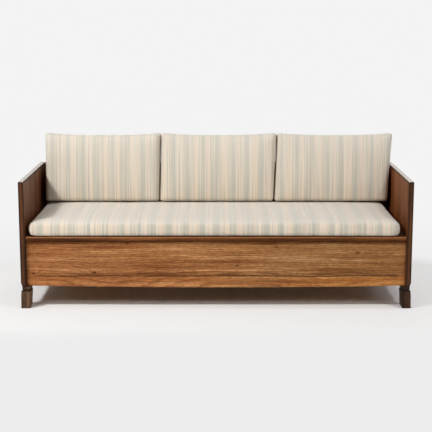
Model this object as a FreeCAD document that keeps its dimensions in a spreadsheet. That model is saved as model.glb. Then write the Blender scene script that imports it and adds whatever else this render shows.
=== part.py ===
import FreeCAD, Part
import math
import os
import Sketcher

# A plank-ended settle sofa: boarded back, lift-off seat lid, pull-out bedding box, loose cushions.
# Millimetres. The origin is on the floor under the middle of the sofa, +Z up, and the front faces -Y.

SIZES = (
    ("overall_width", 2009, "over the outer faces of the end panels"),
    ("overall_depth", 760, "front edge to back edge of the end panels"),
    ("arm_height", 660, "floor to the flat top of the end panels"),
    ("end_thickness", 27, "end panel"),
    ("end_underside", 114, "floor to the lower edge of the end panels, the height of a foot"),
    ("end_chamfer_width", 7, "how far the lower outer edge of an end panel is cut in"),
    ("end_chamfer_height", 21, "how high that cut starts above the lower edge"),
    ("arris_round", 4, "worn edges of the end panels"),
    ("foot_width", 48, "block of a foot at its top, left to right"),
    ("foot_depth", 78, "foot, front to back"),
    ("foot_setback", 2, "foot behind the front or back edge of its end panel"),
    ("foot_inset", 1.5, "top of the block inside the outer face of the end panel"),
    ("foot_neck_height", 12, "plain neck above the groove"),
    ("foot_neck_inset", 5, "outer side of the neck inside the top of the block"),
    ("foot_groove_height", 10, "groove cut round the foot"),
    ("foot_groove_depth", 5, "groove cut round the foot"),
    ("foot_shoulder_height", 65, "floor to the bend in the outer face"),
    ("foot_shoulder_flare", 2.5, "bend in the outer face, outside the top"),
    ("foot_toe_flare", 3.5, "outer lower edge, outside the top"),
    ("foot_heel_lean", 6, "inner lower edge, outside the inner edge at the top"),
    ("foot_ease", 2.5, "cut-off edges of a foot"),
    ("back_thickness", 22, "back boards"),
    ("rebate_depth", 15, "rebate for the back boards in an end panel"),
    ("rebate_gap", 0.5, "end of a back board in its rebate"),
    ("tongue_length", 6, "tongue on a board's edge"),
    ("tongue_thickness", 6, "tongue on a board's edge"),
    ("tongue_ease", 0.3, "room round a tongue in its groove"),
    ("seat_underside", 355, "floor to the underside of the seat lid"),
    ("lid_thickness", 20, "seat boards"),
    ("lid_side_gap", 4, "lid to each end panel"),
    ("lid_back_gap", 4, "lid to the back boards"),
    ("nose_setback", 3, "rounded front edge of the lid behind the front of the ends"),
    ("nose_round", 9, "radius of the lid's front edge"),
    ("lid_batten_width", 60, "battens under the lid"),
    ("lid_batten_thickness", 20, "battens under the lid"),
    ("lid_batten_gap", 4, "batten to the rails in front of it and behind it"),
    ("rail_thickness", 22, "rails, cleats and bearers under the lid"),
    ("front_rail_width", 70, "flat rail behind the front plank"),
    ("rear_rail_height", 40, "rail on the back boards"),
    ("cleat_width", 22, "seat cleats on the end panels"),
    ("bearer_width", 70, "bearers under the lid"),
    ("stop_height", 28, "stop blocks under the bearers"),
    ("stop_length", 30, "stop blocks, front to back"),
    ("back_batten_width", 60, "upright batten on the back boards"),
    ("back_batten_thickness", 18, "upright batten on the back boards"),
    ("stretcher_width", 90, "low stretchers"),
    ("stretcher_thickness", 18, "low stretchers"),
    ("stretcher_raise", 2, "stretcher above the lower edge of the end panels"),
    ("stretcher_foot_gap", 10, "stretcher to the foot beside it"),
    ("runner_width", 30, "runners of the box"),
    ("runner_height", 20, "runners of the box"),
    ("plank_setback", 20, "front plank behind the front of the ends"),
    ("plank_thickness", 22, "front plank"),
    ("plank_height", 245, "front plank at its middle"),
    ("plank_bow", 9, "rise of the plank's lower edge towards its ends"),
    ("plank_side_gap", 1.5, "front plank to each end panel"),
    ("plank_top_gap", 3, "front plank to the lid above it"),
    ("plank_ease", 2, "cut-off front edges of the front plank"),
    ("sliding_gap", 2, "front plank to the rail and the runners behind it"),
    ("box_side_gap", 6, "box side to the end panel"),
    ("box_wall", 18, "sides and back of the box"),
    ("box_top_gap", 8, "top of the box to the rails over it"),
    ("box_rear_gap", 16, "back of the box to the rear rail"),
    ("box_batten_width", 30, "battens under the box bottom"),
    ("box_batten_thickness", 18, "battens under the box bottom"),
    ("box_bottom_thickness", 12, "bottom boards"),
    ("box_travel", 400, "how far the box pulls out"),
    ("stop_gap", 1, "stop block to the box back at full travel"),
    ("dowel_radius", 5, "wooden dowels"),
    ("foot_dowel_length", 50, "half in the foot and half in the end panel"),
    ("foot_dowel_inset", 12, "first dowel from the inner side of a foot"),
    ("foot_dowel_spacing", 28, "between the two dowels of a foot"),
    ("foot_dowel_offset", 4.5, "those dowels from the middle of the end panel, towards the inside"),
    ("rail_dowel_length", 38, "rail into end panel"),
    ("rail_dowel_bite", 13, "share of that length in the end panel"),
    ("rail_dowel_inset", 20, "dowel from the edge of its rail"),
    ("box_dowel_length", 36, "front plank into box side"),
    ("box_dowel_bite", 12, "share of that length in the front plank"),
    ("box_dowel_inset", 30, "outer dowels from the edges of the box side"),
    ("screw_radius", 2.5, "shank of a screw"),
    ("screw_head_radius", 5, "countersunk head"),
    ("screw_head_height", 3, "countersunk head"),
    ("side_screw_length", 42, "runners and cleats into the end panels"),
    ("lid_screw_length", 33, "battens into the seat boards"),
    ("lid_screw_inset", 30, "first screw from the front end of its batten"),
    ("nail_radius", 2, "round nails"),
    ("back_nail_length", 45, "back boards into the end panels"),
    ("box_nail_length", 26, "bottom boards into their battens"),
    ("hole_ease", 0.1, "room round a fastener"),
    ("cover_thickness", 2, "cloth cover of a cushion"),
    ("core_gap", 0.3, "cover to core, and a cushion to what it rests on"),
    ("seat_cushion_thickness", 88, "seat cushion at its crown"),
    ("seat_cushion_left_gap", 15, "seat cushion to the left end panel"),
    ("seat_cushion_right_gap", 31, "seat cushion to the right end panel"),
    ("seat_cushion_setback", 7, "seat cushion behind the front of the ends"),
    ("seat_cushion_back_gap", 6, "seat cushion to the back boards"),
    ("seat_cushion_corner", 36, "plan radius of its corners"),
    ("seat_cushion_draw", 5, "how far its sides pull in between the corners"),
    ("seat_cushion_base_round", 20, "width of its rounded lower edge"),
    ("seat_cushion_edge_round", 46, "width of its rounded upper edge"),
    ("seat_cushion_crown", 7, "rise of its upper face inside that edge"),
    ("back_cushion_height", 386, "back cushion along its lean"),
    ("back_cushion_thickness", 190, "back cushion at its crown"),
    ("back_cushion_left_gap", 25, "left back cushion to the left end panel"),
    ("back_cushion_right_gap", 19, "right back cushion to the right end panel"),
    ("back_cushion_gap", 0.8, "between two back cushions"),
    ("back_cushion_lean", 7, "degrees, top towards the back"),
    ("back_cushion_sway", 4.5, "top of the left back cushion towards the right"),
    ("back_cushion_flare", 9, "how much wider a back cushion is at its top"),
    ("back_cushion_draw", 9.5, "how far its top pulls down between the corners"),
    ("back_cushion_side_draw", 1.5, "how far its sides pull in between the corners"),
    ("back_cushion_corner", 12, "radius of its corners"),
    ("back_cushion_edge_round", 30, "width of its rounded edges"),
    ("back_cushion_crown", 8, "rise of its faces inside those edges"),
    ("back_cushion_back_gap", 1, "back cushion to the top edge of the back boards"),
)
BACK_BOARD_COUNT = 4
SEAT_BOARD_COUNT = 4
BOTTOM_BOARD_COUNT = 4
SIDES = (("left", -1), ("right", 1))
SIDE_SCREW_SHARES = (0.15, 0.5, 0.85)

doc = FreeCAD.newDocument("settle_sofa")
dim = doc.addObject("Spreadsheet::Sheet", "dim")
for row, (alias, number, meaning) in enumerate(SIZES, start=1):
    dim.set(f"A{row}", str(number))
    dim.setAlias(f"A{row}", alias)
    dim.set(f"B{row}", meaning)
doc.recompute()

# Places that several pieces share, as expressions on the sheet
FRONT = "(-dim.overall_depth / 2)"
BACK = "(dim.overall_depth / 2)"
BACK_INSIDE = f"({BACK} - dim.back_thickness)"
INSIDE = "(dim.overall_width / 2 - dim.end_thickness)"
PANEL_MIDDLE = "(dim.overall_width / 2 - dim.end_thickness / 2)"
RAIL_UNDER = "(dim.seat_underside - dim.rail_thickness)"
RAIL_MIDDLE = "(dim.seat_underside - dim.rail_thickness / 2)"
PLANK_FRONT = f"({FRONT} + dim.plank_setback)"
PLANK_BACK = f"({PLANK_FRONT} + dim.plank_thickness)"
PLANK_TOP = "(dim.seat_underside - dim.plank_top_gap)"
RAIL_FRONT = f"({PLANK_BACK} + dim.sliding_gap)"
RAIL_BACK = f"({RAIL_FRONT} + dim.front_rail_width)"
REAR_RAIL_FRONT = f"({BACK_INSIDE} - dim.rail_thickness)"
FOOT_INNER_EDGE = "(dim.overall_depth / 2 - dim.foot_setback - dim.foot_depth)"
STRETCHER_EDGE = f"({FOOT_INNER_EDGE} - dim.stretcher_foot_gap)"
STRETCHER_UNDER = "(dim.end_underside + dim.stretcher_raise)"
STRETCHER_MIDDLE = f"({STRETCHER_UNDER} + dim.stretcher_thickness / 2)"
RUNNER_UNDER = f"({STRETCHER_UNDER} + dim.stretcher_thickness)"
RUNNER_MIDDLE = f"({RUNNER_UNDER} + dim.runner_height / 2)"
RUNNER_TOP = f"({RUNNER_UNDER} + dim.runner_height)"
WALL_TOP = f"({RAIL_UNDER} - dim.box_top_gap)"
WALL_OUTSIDE = f"({INSIDE} - dim.box_side_gap)"
WALL_INSIDE = f"({WALL_OUTSIDE} - dim.box_wall)"
BOX_BACK = f"({REAR_RAIL_FRONT} - dim.box_rear_gap)"
BOX_BACK_INSIDE = f"({BOX_BACK} - dim.box_wall)"
BOTTOM_UNDER = f"({RUNNER_TOP} + dim.box_batten_thickness)"
BOTTOM_TOP = f"({BOTTOM_UNDER} + dim.box_bottom_thickness)"
BOTTOM_BOARD = f"(({BOX_BACK_INSIDE} - {PLANK_BACK}) / {BOTTOM_BOARD_COUNT})"
LID_FRONT = f"({FRONT} + dim.nose_setback)"
LID_BACK = f"({BACK_INSIDE} - dim.lid_back_gap)"
LID_HALF = f"({INSIDE} - dim.lid_side_gap)"
LID_TOP = "(dim.seat_underside + dim.lid_thickness)"
SEAT_BOARD = f"(({LID_BACK} - {LID_FRONT}) / {SEAT_BOARD_COUNT})"
LID_BATTEN_UNDER = "(dim.seat_underside - dim.lid_batten_thickness)"
LID_BATTEN_PLACE = f"({INSIDE} * 2 / 3)"
BEARER_PLACE = f"({INSIDE} / 3)"
BACK_BOARD = f"((dim.arm_height - dim.end_underside) / {BACK_BOARD_COUNT})"
SEAT_CUSHION_TOP = f"({LID_TOP} + dim.core_gap + dim.seat_cushion_thickness)"

nodes = {}


def value(text):
    """Number that an expression gives with the present sizes."""
    return float(dim.evalExpression(text))


def vector(x, y, z):
    """Point from three expressions."""
    return FreeCAD.Vector(value(x), value(y), value(z))


def sided(sign, near, far):
    """Lowest and highest x of a piece that lies from near to far on one side of the middle."""
    return (near, far) if sign > 0 else (f"-({far})", f"-({near})")


def centred(middle, width):
    """Lowest and highest place of a piece of a width about its middle."""
    return f"{middle} - {width} / 2", f"{middle} + {width} / 2"


def put(piece, x, y, z):
    """Bind a piece's place to three expressions."""
    for axis, text in zip("xyz", (x, y, z)):
        piece.setExpression(f"Placement.Base.{axis}", text)


def board(label, x, y, z):
    """Plain rectangular board between the low and high places on each axis."""
    piece = doc.addObject("Part::Box", label)
    for size, (low, high) in zip(("Length", "Width", "Height"), (x, y, z)):
        piece.setExpression(size, f"({high}) - ({low})")
    put(piece, x[0], y[0], z[0])
    return piece


def outline(body, role, corners, arcs=None):
    """Closed sketch through corners on one of the body's own planes; arcs maps a corner's number to the
    point that the edge from it passes through and to its radius."""
    arcs = arcs or {}
    sketch = body.newObject("Sketcher::SketchObject", f"{body.Name}_outline")
    plane = next(feature for feature in body.Origin.OriginFeatures if feature.Role == role)
    sketch.AttachmentSupport = [(plane, "")]
    sketch.MapMode = "FlatFace"
    points = [vector(a, b, "0") for a, b in corners]
    following = points[1:] + points[:1]
    for index, (start, end) in enumerate(zip(points, following)):
        if index in arcs:
            through, radius = arcs[index]
            curve = Part.Arc(start, vector(*through, "0"), end).toShape().Curve
            first, last = (curve.parameter(point) for point in (start, end))
            sketch.addGeometry(Part.ArcOfCircle(curve, first, last))
            number = sketch.addConstraint(Sketcher.Constraint("Radius", index, value(radius)))
            sketch.setExpression(f"Constraints[{number}]", radius)
        else:
            sketch.addGeometry(Part.LineSegment(start, end))
    for index, corner in enumerate(corners):
        sketch.addConstraint(Sketcher.Constraint("Coincident", index, 2, (index + 1) % len(corners), 1))
        for kind, across, text in zip(("DistanceX", "DistanceY"), (-2, -1), corner):
            if text == "0":
                sketch.addConstraint(Sketcher.Constraint("PointOnObject", index, 1, across))
            else:
                number = sketch.addConstraint(Sketcher.Constraint(kind, -1, 1, index, 1, value(text)))
                sketch.setExpression(f"Constraints[{number}]", text)
    return sketch


def padded(label, role, corners, length, arcs=None):
    """Body made by padding an outline half its length to each side of the sketch's plane."""
    body = doc.addObject("PartDesign::Body", label)
    sketch = outline(body, role, corners, arcs)
    pad = body.newObject("PartDesign::Pad", f"{label}_pad")
    pad.Profile = sketch
    pad.SideType = "Symmetric"
    pad.setExpression("Length", length)
    doc.recompute()
    return body


def pocket(body, role, corners):
    """Cut an outline right through a body, to both sides of the sketch's plane."""
    before = body.Shape.Volume
    cut = body.newObject("PartDesign::Pocket", f"{body.Name}_pocket")
    cut.Profile = outline(body, role, corners)
    cut.SideType = "Symmetric"
    cut.Type = "ThroughAll"
    doc.recompute()
    if body.Shape.Volume >= before:
        raise RuntimeError(f"{body.Label}: the pocket cuts nothing")


def ease(body, kind, size, chosen):
    """Round or chamfer the edges of a body that a test on their two ends chooses."""
    base = body.Tip
    names = []
    for index, edge in enumerate(base.Shape.Edges, start=1):
        first, last = edge.Vertexes[0].Point, edge.Vertexes[-1].Point
        if chosen(first, last):
            names.append(f"Edge{index}")
    feature = body.newObject(f"PartDesign::{kind}", f"{body.Name}_{kind.lower()}")
    feature.Base = (base, names)
    feature.setExpression("Radius" if kind == "Fillet" else "Size", size)
    doc.recompute()


def near(first, second):
    """Whether two numbers are the same place."""
    return abs(first - second) < 0.01


TURNS = {
    "+x": FreeCAD.Rotation(FreeCAD.Vector(0, 1, 0), 90),
    "-x": FreeCAD.Rotation(FreeCAD.Vector(0, 1, 0), -90),
    "+y": FreeCAD.Rotation(FreeCAD.Vector(1, 0, 0), -90),
    "-y": FreeCAD.Rotation(FreeCAD.Vector(1, 0, 0), 90),
    "+z": FreeCAD.Rotation(),
    "-z": FreeCAD.Rotation(FreeCAD.Vector(1, 0, 0), 180),
}


def pin(name, start, way, radius, length):
    """Round pin from its start along one of the axes."""
    piece = doc.addObject("Part::Cylinder", name)
    piece.setExpression("Radius", radius)
    piece.setExpression("Height", length)
    piece.Placement = FreeCAD.Placement(FreeCAD.Vector(), TURNS[way])
    put(piece, *start)
    return piece


def screw(name, start, way, room, length):
    """Countersunk screw with the flat of its head at the start."""
    shank = pin(f"{name}_shank", start, way, f"dim.screw_radius + {room}", length)
    head = doc.addObject("Part::Cone", f"{name}_head")
    head.setExpression("Radius1", f"dim.screw_head_radius + {room}")
    head.setExpression("Radius2", f"dim.screw_radius + {room}")
    head.setExpression("Height", "dim.screw_head_height")
    head.Placement = FreeCAD.Placement(FreeCAD.Vector(), TURNS[way])
    put(head, *start)
    whole = doc.addObject("Part::Fuse", name)
    whole.Base = shank
    whole.Tool = head
    return whole


def group(label, pieces):
    """Several solids as one object."""
    whole = doc.addObject("Part::Compound", label)
    whole.Links = pieces
    return whole


def fasteners(label, places, make):
    """Node of equal fasteners; returns the holes for them, which have a little room."""
    pins = []
    holes = []
    for number, (start, way) in enumerate(places, start=1):
        pins.append(make(f"{label}_{number}", start, way, "0"))
        holes.append(make(f"{label}_{number}_hole", start, way, "dim.hole_ease"))
    nodes[label] = group(label, pins)
    return holes


def dowel(length):
    """Maker of dowels of one length."""
    return lambda name, start, way, room: pin(name, start, way, f"dim.dowel_radius + {room}", length)


def nail(length):
    """Maker of nails of one length."""
    return lambda name, start, way, room: pin(name, start, way, f"dim.nail_radius + {room}", length)


def wood_screw(length):
    """Maker of screws of one length."""
    return lambda name, start, way, room: screw(name, start, way, room, length)


def drilled(label, blank, holes):
    """Node made by drilling a blank."""
    piece = doc.addObject("Part::Cut", label)
    piece.Base = blank
    piece.Tool = holes
    nodes[label] = piece


def outwards(sign):
    """Way from the middle towards one side."""
    return "+x" if sign > 0 else "-x"


# Holes of the frame's fasteners
def foot_dowel_places():
    """Two upright dowels between each foot and its end panel."""
    places = []
    for _, sign in SIDES:
        for end in (-1, 1):
            for step in (0, 1):
                y = f"{end} * ({FOOT_INNER_EDGE} + dim.foot_dowel_inset + {step} * dim.foot_dowel_spacing)"
                low = "dim.end_underside - dim.foot_dowel_length / 2"
                places.append(((f"{sign} * ({PANEL_MIDDLE} - dim.foot_dowel_offset)", y, low), "+z"))
    return places


def rail_dowel_places():
    """Two level dowels in each end of the front rail and of the stretchers."""
    inset = "dim.rail_dowel_inset"
    rows = [(f"{RAIL_FRONT} + {inset}", RAIL_MIDDLE), (f"{RAIL_BACK} - {inset}", RAIL_MIDDLE)]
    for end in (-1, 1):
        rows.append((f"{end} * ({STRETCHER_EDGE} - {inset})", STRETCHER_MIDDLE))
        rows.append((f"{end} * ({STRETCHER_EDGE} - dim.stretcher_width + {inset})", STRETCHER_MIDDLE))
    start = f"({INSIDE} - dim.rail_dowel_length + dim.rail_dowel_bite)"
    return [((f"{sign} * {start}", y, z), outwards(sign)) for _, sign in SIDES for y, z in rows]


def side_screw_places(width, front, height):
    """Screws along a runner or a cleat of a width that runs from front to the rear rail on each end panel."""
    places = []
    for _, sign in SIDES:
        for share in SIDE_SCREW_SHARES:
            y = f"{front} + {share} * ({REAR_RAIL_FRONT} - {front})"
            places.append(((f"{sign} * ({INSIDE} - {width})", y, height), outwards(sign)))
    return places


def back_nail_places():
    """Two nails in each end of each back board."""
    places = []
    for _, sign in SIDES:
        for number in range(BACK_BOARD_COUNT):
            for share in (0.25, 0.75):
                z = f"dim.end_underside + {number + share} * {BACK_BOARD}"
                places.append(((f"{sign} * ({INSIDE} + dim.rebate_depth / 2)", BACK, z), "-y"))
    return places


frame_holes = group("frame_holes", (
    fasteners("foot_dowels", foot_dowel_places(), dowel("dim.foot_dowel_length"))
    + fasteners("rail_dowels", rail_dowel_places(), dowel("dim.rail_dowel_length"))
    + fasteners("runner_screws", side_screw_places("dim.runner_width", RAIL_FRONT, RUNNER_MIDDLE),
                wood_screw("dim.side_screw_length"))
    + fasteners("cleat_screws", side_screw_places("dim.cleat_width", RAIL_BACK, RAIL_MIDDLE),
                wood_screw("dim.side_screw_length"))
    + fasteners("back_nails", back_nail_places(), nail("dim.back_nail_length"))))


# End panels
def end_panel(side, sign):
    """Plank end with its lower outer edge cut in, its back edge rebated and its edges worn round."""
    height = "(dim.arm_height - dim.end_underside)"
    thickness = "dim.end_thickness"
    outer, inner = ("0", thickness) if sign < 0 else (thickness, "0")
    cut_in = "dim.end_chamfer_width" if sign < 0 else f"{thickness} - dim.end_chamfer_width"
    step = f"{thickness} - dim.rebate_depth" if sign < 0 else "dim.rebate_depth"
    corners = [(cut_in, "0"), (inner, "0"), (inner, height), (outer, height)]
    corners.append((outer, "dim.end_chamfer_height"))
    body = padded(f"{side}_end_panel_blank", "XZ_Plane", corners, "dim.overall_depth")
    pocket(body, "XY_Plane", [(step, BACK_INSIDE), (inner, BACK_INSIDE), (inner, BACK), (step, BACK)])
    front = value(FRONT)
    top = value(height)

    def worn(first, last):
        level = near(first.z, 0) and near(last.z, 0)
        on_front = near(first.y, front) and near(last.y, front) and not level
        along_top = near(first.z, top) and near(last.z, top) and abs(first.y - last.y) > -front
        return on_front or along_top

    ease(body, "Fillet", "dim.arris_round", worn)
    left_edge = "-dim.overall_width / 2" if sign < 0 else INSIDE
    put(body, left_edge, "0", "dim.end_underside")
    drilled(f"{side}_end_panel", body, frame_holes)


# Feet
def foot(label, sign, end):
    """Cut foot: a neck, a groove all round and a block that leans outwards to the floor."""
    block = "(dim.end_underside - dim.foot_neck_height - dim.foot_groove_height)"
    neck = "(dim.end_underside - dim.foot_neck_height)"
    depth = "dim.foot_groove_depth"
    toe = "dim.foot_toe_flare"
    heel = f"({toe} + dim.foot_width)"
    collar = f"({toe} + dim.foot_neck_inset)"
    corners = [
        ("0", "0"), (f"{heel} - dim.foot_heel_lean", "0"), (heel, block),
        (f"{heel} - {depth}", block), (f"{heel} - {depth}", neck), (heel, neck), (heel, "dim.end_underside"),
        (collar, "dim.end_underside"), (collar, neck), (f"{collar} + {depth}", neck),
        (f"{collar} + {depth}", block), (toe, block),
        (f"{toe} - dim.foot_shoulder_flare", "dim.foot_shoulder_height"),
    ]
    body = padded(f"{label}_blank", "XZ_Plane", corners, "dim.foot_depth")

    def upright(first, last):
        return abs(first.z - last.z) > value("dim.foot_groove_height + dim.foot_neck_height")

    def lowest(first, last):
        return near(first.z, 0) and near(last.z, 0)

    ease(body, "Chamfer", "dim.foot_ease", upright)
    ease(body, "Chamfer", "dim.foot_ease", lowest)
    half = "dim.foot_depth / 2"
    for low, high in ((f"-{half}", f"-{half} + {depth}"), (f"{half} - {depth}", half)):
        pocket(body, "YZ_Plane", [(low, block), (high, block), (high, neck), (low, neck)])
    turn = FreeCAD.Rotation(FreeCAD.Vector(0, 0, 1), 0 if sign < 0 else 180)
    body.Placement = FreeCAD.Placement(FreeCAD.Vector(), turn)
    outer = f"{sign} * (dim.overall_width / 2 - dim.foot_inset + {toe})"
    put(body, outer, f"{end} * (dim.overall_depth / 2 - dim.foot_setback - dim.foot_depth / 2)", "0")
    drilled(label, body, frame_holes)


# Tongued and grooved boards
def tongued(width, thickness, tongue, groove):
    """Corners of a board's section, across its width from the tip of its tongue and through its thickness."""
    start = "dim.tongue_length" if tongue else "0"
    end = f"({start} + {width})"
    low = f"(({thickness} - dim.tongue_thickness) / 2)"
    high = f"(({thickness} + dim.tongue_thickness) / 2)"
    corners = [(start, "0"), (end, "0")]
    if groove:
        bottom = f"{end} - dim.tongue_length - dim.tongue_ease"
        lips = (f"{low} - dim.tongue_ease", f"{high} + dim.tongue_ease")
        corners += [(end, lips[0]), (bottom, lips[0]), (bottom, lips[1]), (end, lips[1])]
    corners += [(end, thickness), (start, thickness)]
    if tongue:
        corners += [(start, high), ("0", high), ("0", low), (start, low)]
    return corners


def back_board(number):
    """Board of the back, with its tongue in the board below it."""
    last = number == BACK_BOARD_COUNT - 1
    label = f"back_board_{number + 1}"
    corners = tongued(BACK_BOARD, "dim.back_thickness", number > 0, not last)
    length = f"2 * ({INSIDE} + dim.rebate_depth - dim.rebate_gap)"
    body = padded(f"{label}_blank", "YZ_Plane", [(through, across) for across, through in corners], length)
    tongue = "dim.tongue_length" if number else "0"
    if last:
        top = body.Shape.BoundBox.ZMax
        ease(body, "Fillet", "dim.arris_round",
             lambda first, end: near(first.z, top) and near(end.z, top) and not near(first.x, end.x))
    put(body, "0", BACK_INSIDE, f"dim.end_underside + {number} * {BACK_BOARD} - {tongue}")
    drilled(label, body, frame_holes)


def seat_board(number, holes):
    """Board of the seat lid; the first has the rounded front edge."""
    label = f"seat_board_{number + 1}"
    corners = tongued(SEAT_BOARD, "dim.lid_thickness", number > 0, number < SEAT_BOARD_COUNT - 1)
    body = padded(f"{label}_blank", "YZ_Plane", corners, f"2 * {LID_HALF}")
    tongue = "dim.tongue_length" if number else "0"
    if number == 0:
        ease(body, "Fillet", "dim.nose_round",
             lambda first, last: near(first.y, 0) and near(last.y, 0) and not near(first.x, last.x))
    put(body, "0", f"{LID_FRONT} + {number} * {SEAT_BOARD} - {tongue}", "dim.seat_underside")
    drilled(label, body, holes)


# Frame
for side, sign in SIDES:
    end_panel(side, sign)
    foot(f"{side}_front_foot", sign, -1)
    foot(f"{side}_rear_foot", sign, 1)
    drilled(f"{side}_runner",
            board(f"{side}_runner_blank", sided(sign, f"{INSIDE} - dim.runner_width", INSIDE),
                  (RAIL_FRONT, REAR_RAIL_FRONT), (RUNNER_UNDER, RUNNER_TOP)), frame_holes)
    drilled(f"{side}_seat_cleat",
            board(f"{side}_seat_cleat_blank", sided(sign, f"{INSIDE} - dim.cleat_width", INSIDE),
                  (RAIL_BACK, REAR_RAIL_FRONT), (RAIL_UNDER, "dim.seat_underside")), frame_holes)
    bearer = centred(f"{sign} * {BEARER_PLACE}", "dim.bearer_width")
    nodes[f"{side}_seat_bearer"] = board(f"{side}_seat_bearer", bearer, (RAIL_BACK, REAR_RAIL_FRONT),
                                         (RAIL_UNDER, "dim.seat_underside"))
    stop_face = f"{BOX_BACK_INSIDE} - dim.box_travel - dim.stop_gap"
    nodes[f"{side}_stop_block"] = board(f"{side}_stop_block", bearer,
                                        (f"{stop_face} - dim.stop_length", stop_face),
                                        (f"{RAIL_UNDER} - dim.stop_height", RAIL_UNDER))

ACROSS = (f"-{INSIDE}", INSIDE)
STRETCHER_LEVEL = (STRETCHER_UNDER, RUNNER_UNDER)
drilled("front_rail", board("front_rail_blank", ACROSS, (RAIL_FRONT, RAIL_BACK),
                            (RAIL_UNDER, "dim.seat_underside")), frame_holes)
drilled("front_stretcher", board("front_stretcher_blank", ACROSS,
                                 (f"-{STRETCHER_EDGE}", f"-{STRETCHER_EDGE} + dim.stretcher_width"),
                                 STRETCHER_LEVEL), frame_holes)
drilled("rear_stretcher", board("rear_stretcher_blank", ACROSS,
                                (f"{STRETCHER_EDGE} - dim.stretcher_width", STRETCHER_EDGE),
                                STRETCHER_LEVEL), frame_holes)
REAR_RAIL_UNDER = "dim.seat_underside - dim.rear_rail_height"
nodes["rear_rail"] = board("rear_rail", ACROSS, (REAR_RAIL_FRONT, BACK_INSIDE),
                           (REAR_RAIL_UNDER, "dim.seat_underside"))
nodes["back_batten"] = board("back_batten", centred("0", "dim.back_batten_width"),
                             (f"{BACK_INSIDE} - dim.back_batten_thickness", BACK_INSIDE),
                             (STRETCHER_UNDER, REAR_RAIL_UNDER))
for number in range(BACK_BOARD_COUNT):
    back_board(number)

# Seat lid
LID_BATTENS = (("left", -1), ("centre", 0), ("right", 1))
LID_BATTEN_FRONT = f"({RAIL_BACK} + dim.lid_batten_gap)"
lid_screw_rows = [f"{LID_BATTEN_FRONT} + dim.lid_screw_inset"]
for number in range(1, SEAT_BOARD_COUNT):
    lid_screw_rows.append(f"{LID_FRONT} + {number + 0.5} * {SEAT_BOARD}")
lid_screw_places = []
for _, step in LID_BATTENS:
    for y in lid_screw_rows:
        lid_screw_places.append(((f"{step} * {LID_BATTEN_PLACE}", y, LID_BATTEN_UNDER), "+z"))
lid_holes = group("lid_holes", fasteners("lid_screws", lid_screw_places, wood_screw("dim.lid_screw_length")))
for number in range(SEAT_BOARD_COUNT):
    seat_board(number, lid_holes)
for name, step in LID_BATTENS:
    x = centred(f"{step} * {LID_BATTEN_PLACE}", "dim.lid_batten_width")
    y = (LID_BATTEN_FRONT, f"{REAR_RAIL_FRONT} - dim.lid_batten_gap")
    blank = board(f"lid_{name}_batten_blank", x, y, (LID_BATTEN_UNDER, "dim.seat_underside"))
    drilled(f"lid_{name}_batten", blank, lid_holes)

# Pull-out box
BATTEN_MIDDLE = f"({WALL_INSIDE} - dim.box_batten_width / 2)"
BOX_BATTENS = (("left", f"-{BATTEN_MIDDLE}"), ("centre", "0"), ("right", BATTEN_MIDDLE))
WALL_LEVEL = (RUNNER_TOP, WALL_TOP)
box_dowel_places = []
for _, sign in SIDES:
    for z in (f"{RUNNER_TOP} + dim.box_dowel_inset", f"({RUNNER_TOP} + {WALL_TOP}) / 2",
              f"{WALL_TOP} - dim.box_dowel_inset"):
        x = f"{sign} * ({WALL_OUTSIDE} - dim.box_wall / 2)"
        box_dowel_places.append(((x, f"{PLANK_BACK} - dim.box_dowel_bite", z), "+y"))
box_nail_places = []
for _, x in BOX_BATTENS:
    for number in range(BOTTOM_BOARD_COUNT):
        box_nail_places.append(((x, f"{PLANK_BACK} + {number + 0.5} * {BOTTOM_BOARD}", BOTTOM_TOP), "-z"))
box_holes = group("box_holes", (fasteners("box_dowels", box_dowel_places, dowel("dim.box_dowel_length"))
                                + fasteners("box_nails", box_nail_places, nail("dim.box_nail_length"))))


def front_plank():
    """Deep front plank of the box, with a lower edge that rises towards its ends."""
    width = f"(2 * ({INSIDE} - dim.plank_side_gap))"
    bow = "dim.plank_bow"
    radius = f"({width} * {width} / 4 + {bow} * {bow}) / (2 * {bow})"
    corners = [("0", bow), (width, bow), (width, "dim.plank_height"), ("0", "dim.plank_height")]
    body = padded("box_front_blank", "XZ_Plane", corners, "dim.plank_thickness",
                  {0: ((f"{width} / 2", "0"), radius)})
    face = -value("dim.plank_thickness") / 2
    ease(body, "Chamfer", "dim.plank_ease", lambda first, last: near(first.y, face) and near(last.y, face))
    put(body, f"-{width} / 2", f"{PLANK_FRONT} + dim.plank_thickness / 2", f"{PLANK_TOP} - dim.plank_height")
    drilled("box_front", body, box_holes)


front_plank()
for side, sign in SIDES:
    drilled(f"box_{side}_side", board(f"box_{side}_side_blank", sided(sign, WALL_INSIDE, WALL_OUTSIDE),
                                      (PLANK_BACK, BOX_BACK), WALL_LEVEL), box_holes)
BETWEEN_WALLS = (f"-{WALL_INSIDE}", WALL_INSIDE)
nodes["box_back"] = board("box_back", BETWEEN_WALLS, (BOX_BACK_INSIDE, BOX_BACK), WALL_LEVEL)
for name, x in BOX_BATTENS:
    drilled(f"box_{name}_batten",
            board(f"box_{name}_batten_blank", centred(x, "dim.box_batten_width"),
                  (PLANK_BACK, BOX_BACK_INSIDE), (RUNNER_TOP, BOTTOM_UNDER)), box_holes)
for number in range(BOTTOM_BOARD_COUNT):
    label = f"box_bottom_board_{number + 1}"
    y = (f"{PLANK_BACK} + {number} * {BOTTOM_BOARD}", f"{PLANK_BACK} + {number + 1} * {BOTTOM_BOARD}")
    drilled(label, board(f"{label}_blank", BETWEEN_WALLS, y, (BOTTOM_UNDER, BOTTOM_TOP)), box_holes)

# Cushions: fullness of their edges (2 is a plain ellipse), rings of an edge and of a crown, and the crowns'
# reach as a share of the shorter side
EDGE_FULLNESS = 2.8
EDGE_RINGS = 5
CROWN_RINGS = 3
SEAT_CROWN_REACH = 0.15
BACK_CROWN_REACH = 0.36


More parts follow.
